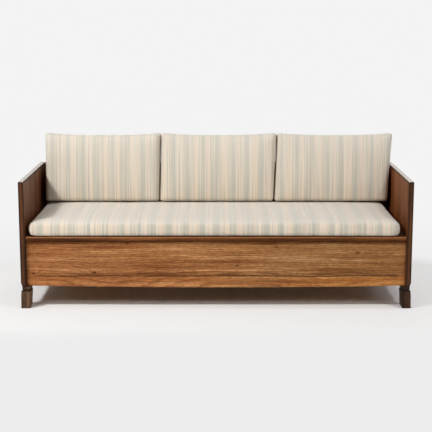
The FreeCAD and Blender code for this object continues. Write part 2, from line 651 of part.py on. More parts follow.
def face_profile(half, edge, crown, flat):
    """Levels from the middle of a cushion to its face, each with how far it lies inside the outline.
    A rounded edge of a width comes first, then a face that rises by its crown as far as its flat."""
    def risen(inset):
        return crown * (1 - (1 - inset / flat) ** 2)

    rows = []
    for step in range(EDGE_RINGS + 1):
        angle = math.pi / 2 * step / EDGE_RINGS
        inset = edge * (1 - max(math.cos(angle), 0) ** (2 / EDGE_FULLNESS))
        up = math.sin(angle) ** (2 / EDGE_FULLNESS)
        rows.append(((half - crown) * up + risen(inset), inset))
    if crown:
        for step in range(1, CROWN_RINGS + 1):
            inset = edge + (flat - edge) * step / CROWN_RINGS
            rows.append((half - crown + risen(inset), inset))
    return rows


def ring(low, high, level, corner, draws, shift):
    """Closed wire round a cushion: four corner arcs, and sides that pull in between them by draws.
    shift gives how far a place moves to the right."""
    def place(x, y):
        return FreeCAD.Vector(x + shift(x, y), y, level)

    (x0, y0), (x1, y1) = low, high
    bend = corner * (1 - 0.5 ** 0.5)
    middle_x, middle_y = (x0 + x1) / 2, (y0 + y1) / 2
    lower, right, upper, left = draws
    spans = [
        ((x0 + corner, y0), (middle_x, y0 + lower), (x1 - corner, y0)),
        ((x1 - corner, y0), (x1 - bend, y0 + bend), (x1, y0 + corner)),
        ((x1, y0 + corner), (x1 - right, middle_y), (x1, y1 - corner)),
        ((x1, y1 - corner), (x1 - bend, y1 - bend), (x1 - corner, y1)),
        ((x1 - corner, y1), (middle_x, y1 - upper), (x0 + corner, y1)),
        ((x0 + corner, y1), (x0 + bend, y1 - bend), (x0, y1 - corner)),
        ((x0, y1 - corner), (x0 + left, middle_y), (x0, y0 + corner)),
        ((x0, y0 + corner), (x0 + bend, y0 + bend), (x0 + corner, y0)),
    ]
    edges = []
    for start, through, end in spans:
        points = [place(*point) for point in (start, through, end)]
        straight = points[0].distanceToLine(points[2], points[1] - points[2]) < 1e-6
        curve = Part.LineSegment(points[0], points[2]) if straight else Part.Arc(*points)
        edges.append(curve.toShape())
    return Part.Wire(edges)


def cushion_form(size, faces, corner, draws, lean, rest, shrink):
    """Crowned cushion, centred on its width and thickness: a loft of rings through its thickness.
    faces: edge, crown and reach of both faces; lean: sway and flare of its top; rest: lower edge at a level;
    shrink: for a smaller form."""
    width, height, thickness = size
    sway, flare = lean
    half, side = thickness / 2 - shrink, min(width, height)
    rear, front = (face_profile(half, edge, crown, reach * side) for edge, crown, reach in faces)

    def shift(x, y):
        return (sway + flare * x / width) * y / height

    rings = []
    for level, inset in [(-level, inset) for level, inset in rear[:0:-1]] + front:
        inside = inset + shrink
        low = (-width / 2 + inside, rest(level) + inside)
        high = (width / 2 - inside, height - inside)
        rings.append(ring(low, high, level, corner, draws, shift))
    return Part.makeLoft(rings, True, True)


def cushion(label, place, *form):
    """Cover and core of a cushion as two nodes."""
    thickness = value("dim.cover_thickness")
    outside = cushion_form(*form, 0)
    hollow = cushion_form(*form, thickness)
    core = cushion_form(*form, thickness + value("dim.core_gap"))
    for name, shape in ((f"{label}_cover", outside.cut(hollow)), (f"{label}_core", core)):
        piece = doc.addObject("Part::Feature", name)
        piece.Shape = shape
        piece.Placement = place
        nodes[name] = piece


def seat_cushion():
    """Long mattress that lies on the lid: flat below, crowned above."""
    left = -value(f"{INSIDE} - dim.seat_cushion_left_gap")
    right = value(f"{INSIDE} - dim.seat_cushion_right_gap")
    front = value(f"{FRONT} + dim.seat_cushion_setback")
    depth = value(f"{BACK_INSIDE} - dim.seat_cushion_back_gap") - front
    thickness = value("dim.seat_cushion_thickness")
    below = (value("dim.seat_cushion_base_round"), 0, SEAT_CROWN_REACH)
    above = (value("dim.seat_cushion_edge_round"), value("dim.seat_cushion_crown"), SEAT_CROWN_REACH)
    middle = value(SEAT_CUSHION_TOP) - thickness / 2
    draws = [value("dim.seat_cushion_draw")] * 4
    place = FreeCAD.Placement(FreeCAD.Vector((left + right) / 2, front, middle), FreeCAD.Rotation())
    cushion("seat_cushion", place, (right - left, depth, thickness), (below, above),
            value("dim.seat_cushion_corner"), draws, (0, 0), lambda level: 0)


def back_cushions():
    """Three cushions that stand on the mattress and lean on the top edge of the back boards.
    They are wider at the top and each sways more than the one before, so their sides keep together."""
    left = -value(f"{INSIDE} - dim.back_cushion_left_gap")
    right = value(f"{INSIDE} - dim.back_cushion_right_gap")
    gap = value("dim.back_cushion_gap")
    width = (right - left - 2 * gap) / 3
    height = value("dim.back_cushion_height")
    thickness = value("dim.back_cushion_thickness")
    lean = value("dim.back_cushion_lean")
    sine, cosine, slope = (turn(math.radians(lean)) for turn in (math.sin, math.cos, math.tan))
    foot_level = value(f"{SEAT_CUSHION_TOP} + dim.core_gap") - thickness / 2 * sine
    touch = value(f"{BACK_INSIDE} - dim.back_cushion_back_gap")
    y = touch - thickness / 2 / cosine - (value("dim.arm_height") - foot_level) * slope
    face = (value("dim.back_cushion_edge_round"), value("dim.back_cushion_crown"), BACK_CROWN_REACH)
    side_draw = value("dim.back_cushion_side_draw")
    draws = (0, side_draw, value("dim.back_cushion_draw"), side_draw)
    upright = FreeCAD.Rotation(FreeCAD.Vector(1, 0, 0), 90 - lean)

    def rest(level):
        return (thickness / 2 - level) * slope

    for number, name in enumerate(("left", "centre", "right")):
        x = left + width / 2 + number * (width + gap)
        place = FreeCAD.Placement(FreeCAD.Vector(x, y, foot_level), upright)
        sway = value(f"dim.back_cushion_sway + {number} * dim.back_cushion_flare")
        cushion(f"back_cushion_{name}", place, (width, height, thickness), (face, face),
                value("dim.back_cushion_corner"), draws, (sway, value("dim.back_cushion_flare")), rest)


seat_cushion()
back_cushions()

# Nothing is written unless every object came out whole
doc.recompute()
for piece in doc.Objects:
    if "Invalid" in piece.State or "Error" in piece.State:
        raise RuntimeError(f"{piece.Label}: {piece.State}")
for label, piece in nodes.items():
    if piece.Shape.isNull() or not piece.Shape.isValid() or piece.Shape.Volume <= 0:
        raise RuntimeError(f"{label}: the shape is not whole")
os.makedirs("parts", exist_ok=True)
for label, piece in nodes.items():
    piece.Shape.exportStep(f"parts/{label}.step")
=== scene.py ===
import logging
import math
from dataclasses import dataclass, replace
from enum import Enum
from functools import lru_cache, partial, reduce
from typing import Optional, Sequence, Union

import bmesh
import bpy
import numpy as np
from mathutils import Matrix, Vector


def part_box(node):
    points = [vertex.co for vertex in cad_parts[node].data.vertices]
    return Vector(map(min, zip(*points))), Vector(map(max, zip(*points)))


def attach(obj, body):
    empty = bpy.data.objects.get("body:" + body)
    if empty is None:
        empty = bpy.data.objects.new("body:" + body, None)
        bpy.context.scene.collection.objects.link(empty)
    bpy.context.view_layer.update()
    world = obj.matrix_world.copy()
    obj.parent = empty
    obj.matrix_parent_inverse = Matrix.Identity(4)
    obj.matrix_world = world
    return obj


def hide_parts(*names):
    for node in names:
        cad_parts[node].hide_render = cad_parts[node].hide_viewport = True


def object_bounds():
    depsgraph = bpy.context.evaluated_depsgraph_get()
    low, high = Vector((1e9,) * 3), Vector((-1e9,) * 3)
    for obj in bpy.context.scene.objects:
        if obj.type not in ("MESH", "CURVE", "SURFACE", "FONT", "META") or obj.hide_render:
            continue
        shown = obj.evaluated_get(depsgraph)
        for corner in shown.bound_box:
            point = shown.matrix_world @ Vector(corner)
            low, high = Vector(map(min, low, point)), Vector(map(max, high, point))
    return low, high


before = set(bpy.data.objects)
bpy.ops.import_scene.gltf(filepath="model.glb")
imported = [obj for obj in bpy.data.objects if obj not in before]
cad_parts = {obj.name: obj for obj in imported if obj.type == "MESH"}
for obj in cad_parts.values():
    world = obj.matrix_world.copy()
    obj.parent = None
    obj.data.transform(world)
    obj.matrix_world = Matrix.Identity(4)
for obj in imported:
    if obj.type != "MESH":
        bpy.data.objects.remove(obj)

# Looks of a plank-ended settle sofa: oiled and stained wood, striped cloth, stuffed cushions, a plain studio.
# Metres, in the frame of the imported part: the front faces -Y and +Z is up.

LOG = logging.getLogger("settle")
CAD_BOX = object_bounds()

Socket = bpy.types.NodeSocket
Feed = Union[float, Socket]
Span = tuple[float, float]
Place = tuple[float, float, float]
Tone = tuple[float, float, float]
Colour = Union[Socket, Tone]
Points = np.ndarray


def linear(level: int) -> float:
    """Linear light of one screen value from 0 to 255."""
    share = level / 255
    return share / 12.92 if share <= 0.04045 else ((share + 0.055) / 1.055) ** 2.4


def tone(red: int, green: int, blue: int) -> Tone:
    """Colour in linear light, as a shader wants it, from its screen values."""
    return linear(red), linear(green), linear(blue)


@dataclass(frozen=True)
class Speckle:
    """Stretched noise: its grains in a metre on each axis, where it starts and how fine it gets."""

    grains: Place
    start: Place = (0.0, 0.0, 0.0)
    detail: float = 2.0
    roughness: float = 0.5


@dataclass(frozen=True)
class Veil:
    """How a shade comes in where a noise goes from one level to another."""

    start: float
    full: float
    most: float


class Shader:
    """Material or world whose nodes are written as calls that return sockets; its noises are at one place."""

    def __init__(self, name: str, world: bool = False) -> None:
        """Start a material with one principled surface, or a world with one background.

        Args:
            name: Name of the material or world.
            world: Whether it is a world.
        """
        self.block = bpy.data.worlds.new(name) if world else bpy.data.materials.new(name)
        self.block.use_nodes = True
        self.tree = self.block.node_tree
        self.surface = self.tree.nodes["Background" if world else "Principled BSDF"]
        self.place: Optional[Socket] = None
        self.noises: dict[Speckle, Socket] = {}

    def feed(self, socket: Socket, value: Union[Feed, Tone]) -> None:
        """Link a socket to another one, or set it.

        Args:
            socket: Input that is fed.
            value: Output socket, number, colour or vector.
        """
        if isinstance(value, bpy.types.NodeSocket):
            self.tree.links.new(value, socket)
        elif socket.type == "RGBA":
            socket.default_value = (*value, 1)
        else:
            socket.default_value = value

    def add(self, kind: str, inputs: dict, **settings: object) -> bpy.types.Node:
        """New node.

        Args:
            kind: Type of the node.
            inputs: Values of its inputs, by name or number.
            **settings: Its other properties.

        Returns:
            The node.
        """
        node = self.tree.nodes.new(kind)
        for key, value in settings.items():
            setattr(node, key, value)
        for key, value in inputs.items():
            self.feed(node.inputs[key], value)
        return node

    def paint(self, inputs: dict) -> None:
        """Feed inputs of the surface, by their names."""
        for key, value in inputs.items():
            self.feed(self.surface.inputs[key], value)

    def calc(self, operation: str, first: Feed, second: Feed = 0.0) -> Socket:
        """Result of a math operation on one number or two."""
        return self.add("ShaderNodeMath", {0: first, 1: second}, operation=operation).outputs[0]

    def total(self, *terms: Feed) -> Socket:
        """Sum of several terms."""
        return reduce(partial(self.calc, "ADD"), terms)

    def product(self, *terms: Feed) -> Socket:
        """Product of several terms."""
        return reduce(partial(self.calc, "MULTIPLY"), terms)

    def weighed(self, terms: Sequence[Feed], shares: Sequence[float]) -> Socket:
        """Sum of several terms, each times its share."""
        return self.total(*(self.product(term, share) for term, share in zip(terms, shares)))

    def seen(self) -> Socket:
        """Rays that show a surface to the eye.

        Returns:
            A mask of the straight rays and of those by a mirror or glass.
        """
        path = self.add("ShaderNodeLightPath", {}).outputs
        direct = self.calc("MAXIMUM", path["Is Camera Ray"], path["Is Glossy Ray"])
        return self.calc("MAXIMUM", direct, path["Is Transmission Ray"])

    def parts(self, vector: Socket) -> tuple[Socket, Socket, Socket]:
        """Three parts of a vector."""
        return tuple(self.add("ShaderNodeSeparateXYZ", {0: vector}).outputs)

    def vector_calc(self, operation: str, *terms: Union[Socket, Place]) -> bpy.types.Node:
        """Node of a vector math operation; its first output is the vector result."""
        return self.add("ShaderNodeVectorMath", dict(enumerate(terms)), operation=operation)

    def vector(self, x: Feed, y: Feed, z: Feed) -> Socket:
        """Vector from its three parts."""
        return self.add("ShaderNodeCombineXYZ", {0: x, 1: y, 2: z}).outputs[0]

    def span(self, value: Feed, low: float, high: float, to_low: Feed = 0.0, to_high: Feed = 1.0) -> Socket:
        """Value taken from the range of low and high to another one, with soft ends and nothing beyond."""
        inputs = {0: value, 1: low, 2: high, 3: to_low, 4: to_high}
        return self.add("ShaderNodeMapRange", inputs, interpolation_type="SMOOTHSTEP").outputs[0]

    def blend(self, share: Feed, first: Colour, second: Colour, mode: str = "MIX") -> Socket:
        """Two colours joined in a mode, with a share of the second."""
        node = self.add("ShaderNodeMix", {0: share, 6: first, 7: second}, data_type="RGBA", blend_type=mode)
        return node.outputs[2]

    def noise(self, speckle: Speckle) -> Socket:
        """Noise at the place, made once.

        Args:
            speckle: Kind of the noise.

        Returns:
            The noise, from 0 to 1.
        """
        if speckle not in self.noises:
            spot = self.vector_calc("MULTIPLY_ADD", self.place, speckle.grains, speckle.start).outputs[0]
            inputs = {"Vector": spot, "Scale": 1.0, "Detail": speckle.detail, "Roughness": speckle.roughness}
            self.noises[speckle] = self.add("ShaderNodeTexNoise", inputs).outputs[0]
        return self.noises[speckle]

    def sway(self, speckle: Speckle, width: float) -> Socket:
        """Noise to both sides of zero, of a width."""
        return self.product(self.total(self.noise(speckle), -0.5), width)

    def veiled(self, colour: Socket, speckle: Speckle, veil: Veil, shade: Tone, mode: str = "MIX") -> Socket:
        """Colour with a shade on it where a noise brings it in."""
        share = self.span(self.noise(speckle), veil.start, veil.full, 0.0, veil.most)
        return self.blend(share, colour, shade, mode)

    def ramp(self, share: Socket, stops: Sequence[tuple[float, Tone]], soft: bool = True) -> Socket:
        """Colour from a row of stops.

        Args:
            share: Place in the row, from 0 to 1.
            stops: Places with their colours, in order.
            soft: Whether the colours run into each other slowly.

        Returns:
            The colour.
        """
        node = self.add("ShaderNodeValToRGB", {0: share})
        band = node.color_ramp
        band.interpolation = "EASE" if soft else "LINEAR"
        for _ in stops[2:]:
            band.elements.new(0.5)
        for element, (place, _) in zip(band.elements, stops):
            element.position = place
        for element, (_, colour) in zip(band.elements, stops):
            element.color = (*colour, 1)
        return node.outputs[0]

    def bump(self, height: Socket, distance: float, strength: float) -> Socket:
        """Normal of a surface with small heights, of which 1 is a distance in metres."""
        inputs = {"Height": height, "Distance": distance, "Strength": strength}
        return self.add("ShaderNodeBump", inputs).outputs[0]

    def edges(self, radius: float, low: float, high: float) -> Socket:
        """Mask of the arrises of a piece.

        Args:
            radius: How far from an arris the mask reaches.
            low: Bend at which the mask starts.
            high: Bend at which it is full.

        Returns:
            The mask, 1 on an arris.
        """
        bevel = self.add("ShaderNodeBevel", {"Radius": radius}, samples=6).outputs[0]
        normal = self.add("ShaderNodeNewGeometry", {}).outputs["Normal"]
        dot = self.vector_calc("DOT_PRODUCT", bevel, normal).outputs["Value"]
        return self.span(self.calc("SUBTRACT", 1.0, dot), low, high)


MOST_OF_NOISE: Span = (0.3, 0.7)

# Wood: noises along, across and through the grain, and what is made of them.
RING_DRIFT = Speckle((0.8, 3.0, 3.0), (3.1, 1.7, 0.4))
RING_FALL = Speckle((1.5, 2.0, 2.0), (7.9, 4.2, 8.6), 1.5)
RING_EDGE = Speckle((5.0, 70.0, 70.0))
RING_ROUGHNESS = 0.7
RING_POWER = 2.2
RING_END: Span = (1.0, 0.93)
GRAIN_BANDS = Speckle((1.6, 38.0, 38.0), (2.0, 5.0, 1.0), 4.0, 0.6)
GRAIN_STOPS = (0.32, 0.5, 0.72)
GRAIN_LINES = Speckle((3.5, 150.0, 150.0), (6.0, 1.0, 4.0), 3.0, 0.6)
FIBRES = Speckle((22.0, 600.0, 600.0))
FLECKS = Speckle((45.0, 140.0, 140.0), (2.0, 7.0, 3.0), 3.0, 0.65)
STAIN = Speckle((2.2, 7.0, 7.0), (4.4, 0.3, 9.1), 3.0)
PATCHINESS = Speckle((14.0, 60.0, 60.0), (1.0, 2.0, 3.0), 3.0, 0.7)
TOP_PATCHES = (0.25, 0.6, 0.45, 0.9)
KNOT_EDGE = Speckle((70.0, 240.0, 0.0), detail=3.0, roughness=0.6)
KNOT_RAGGED: Span = (0.4, 2.2)
KNOT_FADE = 0.12
KNOT_PUSH = 1.6
KNOT_HEART: Span = (1.6, 0.1)
BAND_EDGE = Speckle((5.0, 40.0, 0.0), (8.0, 3.0, 1.0), 3.0)
STREAK_PATH = Speckle((3.0, 0.0, 0.0), detail=3.0)
STREAK_BREAKS = Speckle((9.0, 25.0, 0.0), detail=3.0)
STREAK_STEP: Place = (11.3, 0.0, 5.7)
BOARD_SHIFT: Span = (23.0, 0.3)
DARK_LINES, PALE_LINES = Veil(0.52, 0.7, 0.6), Veil(0.46, 0.32, 0.4)
DARK_STAIN, PALE_STAIN = Veil(0.5, 0.75, 0.45), Veil(0.48, 0.25, 0.35)
DARK_FIBRES = Veil(*MOST_OF_NOISE, 0.35)
RESIN_SHADE = 0.3
ROUGHNESS_SWING = 0.1
WORN_ROUGHNESS = 0.2
WOOD_HEIGHTS = (0.6, 0.5, -0.8)
WOOD_BUMP: Span = (0.0006, 0.35)

RUST_SPOTS = Speckle((420.0, 420.0, 420.0), detail=4.0, roughness=0.6)
RUSTED: Span = (0.45, 0.65)
STEEL_ROUGHNESS: Span = (0.35, 0.7)
STEEL_BUMP: Span = (0.0003, 0.4)

# Cloth: noises across and along the stripes, and what is made of them.
STRIPE_SWAY = Speckle((6.0, 3.0, 1.0))
FINE_LINES = Speckle((420.0, 2.5, 1.0), (0.0, 0.0, 0.5), 2.0, 0.6)
BROAD_LINES = Speckle((150.0, 1.6, 1.0), (3.0, 0.0, 7.5), 2.0, 0.6)
SLUBS = Speckle((60.0, 700.0, 1.0), (1.0, 5.0, 2.5), 2.0, 0.6)
WASH = Speckle((9.0, 7.0, 1.0), (6.0, 2.0, 1.5), 3.0, 0.55)
CLOTH_VEILS = ((BROAD_LINES, Veil(0.5, 0.64, 0.85), tone(188, 183, 169)),
               (BROAD_LINES, Veil(0.48, 0.34, 0.75), tone(234, 219, 198)),
               (FINE_LINES, Veil(0.58, 0.76, 0.6), tone(172, 164, 150)),
               (FINE_LINES, Veil(0.4, 0.22, 0.45), tone(240, 228, 210)),
               (SLUBS, Veil(0.55, 0.8, 0.22), tone(206, 198, 182)),
               (WASH, Veil(0.5, 0.8, 0.2), tone(224, 214, 200)))
CLOTH_ROUGHNESS = (0.2, 0.8, 0.82, 0.95)
CLOTH_HEIGHTS = (0.3, 0.4, 0.3)
CLOTH_BUMP: Span = (0.0005, 0.4)


class Grain(Enum):
    """Axes of the part that run along, across and through a board."""

    UPRIGHT = (0, 2, 1)
    FLAT = (0, 1, 2)
    STANDING = (2, 1, 0)
    CROSSWAYS = (1, 0, 2)


@dataclass(frozen=True)
class Knot:
    """Knot in a board, at its place along and across the grain."""

    along: float
    across: float
    radius: float
    stretch: float = 2.2


@dataclass(frozen=True)
class Streak:
    """Dark resin line that runs along a board."""

    across: float
    width: float
    strength: float
    start: float
    end: float
    wave: float = 0.006
    breaks: Span = (0.3, 0.6)
    ends: float = 0.1
    core: float = 0.1


@dataclass(frozen=True)
class Band:
    """Tinted strip along a board, full on one side of a line across the grain and gone on the other.

    Where it has a reach, it comes in slowly between those two places along the board.
    """

    full: float
    gone: float
    tint: Tone
    ragged: float = 0.006
    reach: Optional[Span] = None


@dataclass(frozen=True)
class WoodFinish:
    """Sawn softwood under stain and oil, marked on its arrises: pale wear on most boards, and near-black on
    the ends and feet, partly dark edges and partly painted shade.

    The top is a pale tint on patches of wood that faces up: partly rubbed wear and partly a painted
    highlight, and on the seat nose a painted highlight only. The level is a painted shadow on what lies quite
    flat, the front a tint of what faces -Y.
    """

    name: str
    grain: Grain
    pale: Tone
    middle: Tone
    dark: Tone
    arris_tone: Tone
    roughness: float = 0.5
    shine: float = 0.15
    polish: float = 0.0
    ring_spacing: float = 0.007
    ring_depth: float = 0.5
    pith_across: float = 0.0
    pith_depth: float = 0.07
    wander: float = 0.03
    mottle: float = 0.12
    arris_mark: float = 0.4
    arris_mark_width: float = 0.004
    arris_mark_bend: Span = (0.02, 0.2)
    arris_mark_patches: Span = (0.4, 0.62)
    top: Optional[Tone] = None
    top_turn: Span = (0.8, 0.98)
    level: Optional[Tone] = None
    flat_shadow_turn: Span = (0.985, 0.999)
    front: Optional[Tone] = None
    front_turn: Span = (-0.8, -0.98)
    by_board: bool = False
    turn: tuple[Tone, Tone, Tone] = ((1.0, 1.0, 1.0),) * 3
    turn_ends: Span = (-1.0, 1.0)
    knots: tuple[Knot, ...] = ()
    streaks: tuple[Streak, ...] = ()
    bands: tuple[Band, ...] = ()

    def material(self) -> bpy.types.Material:
        """Make the finish."""
        return WoodShader(self).make()


class WoodShader(Shader):
    """Material of a wood finish, whose place runs along, across and through the grain of a board."""

    def __init__(self, finish: WoodFinish) -> None:
        """Find the place, which is moved by chance where each board has its own grain.

        Args:
            finish: Finish that is made.
        """
        super().__init__(finish.name)
        self.finish = finish
        axes = self.parts(self.add("ShaderNodeTexCoord", {}).outputs["Object"])
        self.along, self.across, self.depth = (axes[index] for index in finish.grain.value)
        if finish.by_board:
            chance = self.add("ShaderNodeObjectInfo", {}).outputs["Random"]
            ahead, aside = BOARD_SHIFT
            self.along = self.total(self.along, self.product(chance, ahead))
            self.across = self.total(self.across, self.product(self.total(chance, -0.5), aside))
        self.place = self.vector(self.along, self.across, self.depth)

    def knots(self) -> tuple[Feed, Feed]:
        """What the knots do to a board.

        Returns:
            How far the rings bend round the knots, and a mask of their dark ragged hearts.
        """
        bend: Feed = 0.0
        heart: Feed = 0.0
        ragged = self.span(self.noise(KNOT_EDGE), *MOST_OF_NOISE, *KNOT_RAGGED)
        for knot in self.finish.knots:
            ahead = self.product(self.total(self.along, -knot.along), 1 / (knot.radius * knot.stretch))
            aside = self.product(self.total(self.across, -knot.across), 1 / knot.radius)
            square = self.total(self.product(ahead, ahead), self.product(aside, aside))
            swell = self.calc("POWER", math.e, self.product(square, -KNOT_FADE))
            bend = self.total(bend, self.product(swell, knot.radius * KNOT_PUSH))
            heart = self.calc("MAXIMUM", heart, self.span(self.product(square, ragged), *KNOT_HEART))
        return bend, heart

    def rings(self, bend: Feed) -> Socket:
        """Dark late wood of the growth rings where the board cuts them.

        Args:
            bend: How far the knots push the rings.

        Returns:
            How late the wood is, from 0 to 1.
        """
        finish = self.finish
        aside = self.total(self.across, self.sway(RING_DRIFT, finish.wander), -finish.pith_across)
        inside = self.total(self.depth, self.sway(RING_FALL, finish.wander * 2), finish.pith_depth)
        square = self.total(self.product(aside, aside), self.product(inside, inside))
        radius = self.total(self.calc("SQRT", square), bend)
        rough = self.product(self.noise(RING_EDGE), RING_ROUGHNESS)
        share = self.calc("FRACT", self.total(self.product(radius, 1 / finish.ring_spacing), rough))
        return self.product(self.calc("POWER", share, RING_POWER), self.span(share, *RING_END))

    def streaks(self) -> Feed:
        """Mask of the resin lines.

        Returns:
            How dark the lines are, from 0 to 1.
        """
        mask: Feed = 0.0
        for number, streak in enumerate(self.finish.streaks):
            start = tuple(step * number for step in STREAK_STEP)
            sway = self.sway(replace(STREAK_PATH, start=start), streak.wave * 4)
            whole = self.span(self.noise(replace(STREAK_BREAKS, start=start)), *streak.breaks)
            line = self.calc("ABSOLUTE", self.total(self.across, -streak.across, sway))
            near = self.span(line, streak.width, streak.width * streak.core)
            begun = self.span(self.along, streak.start, streak.start + streak.ends)
            ended = self.span(self.along, streak.end, streak.end - streak.ends)
            mask = self.calc("MAXIMUM", mask, self.product(near, begun, ended, whole, streak.strength))
        return mask

    def grained(self, late: Socket) -> Socket:
        """Colour of the sawn wood.

        Args:
            late: How late the wood is.

        Returns:
            The colour of bands, lines, rings, stain, fibres and flecks.
        """
        finish = self.finish
        stops = tuple(zip(GRAIN_STOPS, (finish.pale, finish.middle, finish.dark)))
        colour = self.ramp(self.noise(GRAIN_BANDS), stops)
        colour = self.veiled(colour, GRAIN_LINES, DARK_LINES, finish.dark)
        colour = self.veiled(colour, GRAIN_LINES, PALE_LINES, finish.pale)
        colour = self.blend(self.product(late, finish.ring_depth), colour, finish.dark)
        colour = self.veiled(colour, STAIN, DARK_STAIN, finish.dark)
        colour = self.veiled(colour, STAIN, PALE_STAIN, finish.pale)
        colour = self.veiled(colour, FIBRES, DARK_FIBRES, finish.dark, "MULTIPLY")
        flecks = self.span(self.noise(FLECKS), *MOST_OF_NOISE, 1 - finish.mottle, 1 + finish.mottle)
        return self.blend(1.0, colour, flecks, "MULTIPLY")

    def tinted(self, colour: Socket) -> Socket:
        """Colour with the turn along the board and the bands on it.

        Args:
            colour: Colour of the wood.

        Returns:
            The new colour.
        """
        stops = tuple(zip((0.0, 0.5, 1.0), self.finish.turn))
        tint = self.ramp(self.span(self.along, *self.finish.turn_ends), stops, soft=False)
        colour = self.blend(1.0, colour, tint, "MULTIPLY")
        for band in self.finish.bands:
            line = self.total(self.across, self.sway(BAND_EDGE, band.ragged * 4))
            share = self.span(line, band.gone, band.full)
            if band.reach:
                share = self.product(share, self.span(self.along, *band.reach))
            colour = self.blend(share, colour, band.tint, "MULTIPLY")
        return colour

    def make(self) -> bpy.types.Material:
        """Lay grain, tints, resin, the pale top with its painted highlight, the painted shadow on flat tops
        and the arris marks over each other.

        Returns:
            The material.
        """
        finish = self.finish
        bend, heart = self.knots()
        late = self.rings(bend)
        colour = self.tinted(self.grained(late))
        resin = self.streaks()
        deep = tuple(level * RESIN_SHADE for level in finish.dark)
        colour = self.blend(heart, self.blend(resin, colour, deep), deep)
        patchy = self.noise(PATCHINESS)
        # Arris marks: pale wear on most boards; on the ends and feet near-black, partly dark edges and partly
        # painted shade on rounded arrises and in the feet's groove.
        arrises = self.edges(finish.arris_mark_width, *finish.arris_mark_bend)
        arris_mark = self.product(arrises, self.span(patchy, *finish.arris_mark_patches), finish.arris_mark)
        normal = self.add("ShaderNodeNewGeometry", {}).outputs["True Normal"]
        _, backward, upward = self.parts(normal)
        facing_up = self.span(upward, *finish.top_turn)
        if finish.front:
            colour = self.blend(self.span(backward, *finish.front_turn), colour, finish.front, "MULTIPLY")
        # Pale top: partly rubbed wear and partly a painted highlight; on the seat nose, a painted highlight
        # on its rounded upper part.
        if finish.top:
            top_tint_share = self.product(facing_up, self.span(patchy, *TOP_PATCHES))
            colour = self.blend(top_tint_share, colour, finish.top)
        # Painted shadow: the flat top, here the seat nose's strip under the mattress's edge, is darkened.
        if finish.level:
            colour = self.blend(self.span(upward, *finish.flat_shadow_turn), colour, finish.level)
        swing = (finish.roughness - ROUGHNESS_SWING, finish.roughness + ROUGHNESS_SWING)
        rough = self.span(self.noise(STAIN), *MOST_OF_NOISE, *swing)
        height = self.weighed((late, self.noise(FIBRES), resin), WOOD_HEIGHTS)
        self.paint({
            "Base Color": self.blend(arris_mark, colour, finish.arris_tone),
            "Roughness": self.total(rough, self.product(arris_mark, WORN_ROUGHNESS)),
            "Normal": self.bump(height, *WOOD_BUMP),
            "Specular IOR Level": finish.shine, "Coat Roughness": 0.25,
        })
        if finish.polish:
            self.paint({"Coat Weight": self.product(facing_up, finish.polish)})
        return self.block


@dataclass(frozen=True)
class SteelFinish:
    """Dull steel of screws and nails."""

    name: str
    bright: Tone
    rust: Tone

    def material(self) -> bpy.types.Material:
        """Make the finish.

        Returns:
            Its material.
        """
        shader = Shader(self.name)
        shader.place = shader.add("ShaderNodeTexCoord", {}).outputs["Object"]
        spots = shader.noise(RUST_SPOTS)
        shader.paint({
            "Base Color": shader.blend(shader.span(spots, *RUSTED), self.bright, self.rust),
            "Roughness": shader.span(spots, *MOST_OF_NOISE, *STEEL_ROUGHNESS),
            "Metallic": 0.9,
            "Normal": shader.bump(spots, *STEEL_BUMP),
        })
        return shader.block


@dataclass(frozen=True)
class ClothFinish:
    """Woven upholstery cloth with soft stripes.

    One attribute of the mesh holds the place across and along the stripes, the other the share of a painted
    sheen: a pale wash over them.
    """

    name: str
    repeat: float
    stripes: tuple[tuple[float, Tone], ...]
    sheen_tone: Tone
    thread: float = 0.0011
    weft_spacing: float = 1.3
    sway: float = 0.006
    attribute: str = "weave"
    sheen_attribute: str = "fade"

    def material(self) -> bpy.types.Material:
        """Make the finish.

        Returns:
            Its material.
        """
        shader = Shader(self.name)
        shader.place = shader.add("ShaderNodeAttribute", {}, attribute_name=self.attribute).outputs["Vector"]
        across, along, _ = shader.parts(shader.place)
        moved = shader.total(across, shader.sway(STRIPE_SWAY, self.sway))
        share = shader.calc("FRACT", shader.product(moved, 1 / self.repeat))
        colour = shader.ramp(share, self.stripes)
        for speckle, veil, shade in CLOTH_VEILS:
            colour = shader.veiled(colour, speckle, veil, shade)
        # Painted sheen: the stripes are washed towards a pale tone by the share that the mesh holds.
        fade = shader.add("ShaderNodeAttribute", {}, attribute_name=self.sheen_attribute).outputs["Fac"]
        warp = shader.calc("SINE", shader.product(across, math.tau / self.thread))
        weft = shader.calc("SINE", shader.product(along, math.tau / (self.thread * self.weft_spacing)))
        terms = (shader.product(warp, weft), shader.noise(SLUBS), shader.noise(FINE_LINES))
        shader.paint({
            "Base Color": shader.blend(fade, colour, self.sheen_tone),
            "Roughness": shader.span(shader.noise(WASH), *CLOTH_ROUGHNESS),
            "Normal": shader.bump(shader.weighed(terms, CLOTH_HEIGHTS), *CLOTH_BUMP),
            "Sheen Weight": 0.35, "Sheen Roughness": 0.5, "Specular IOR Level": 0.25,
        })
        return shader.block


NodeFinishes = dict[str, Union[WoodFinish, SteelFinish]]

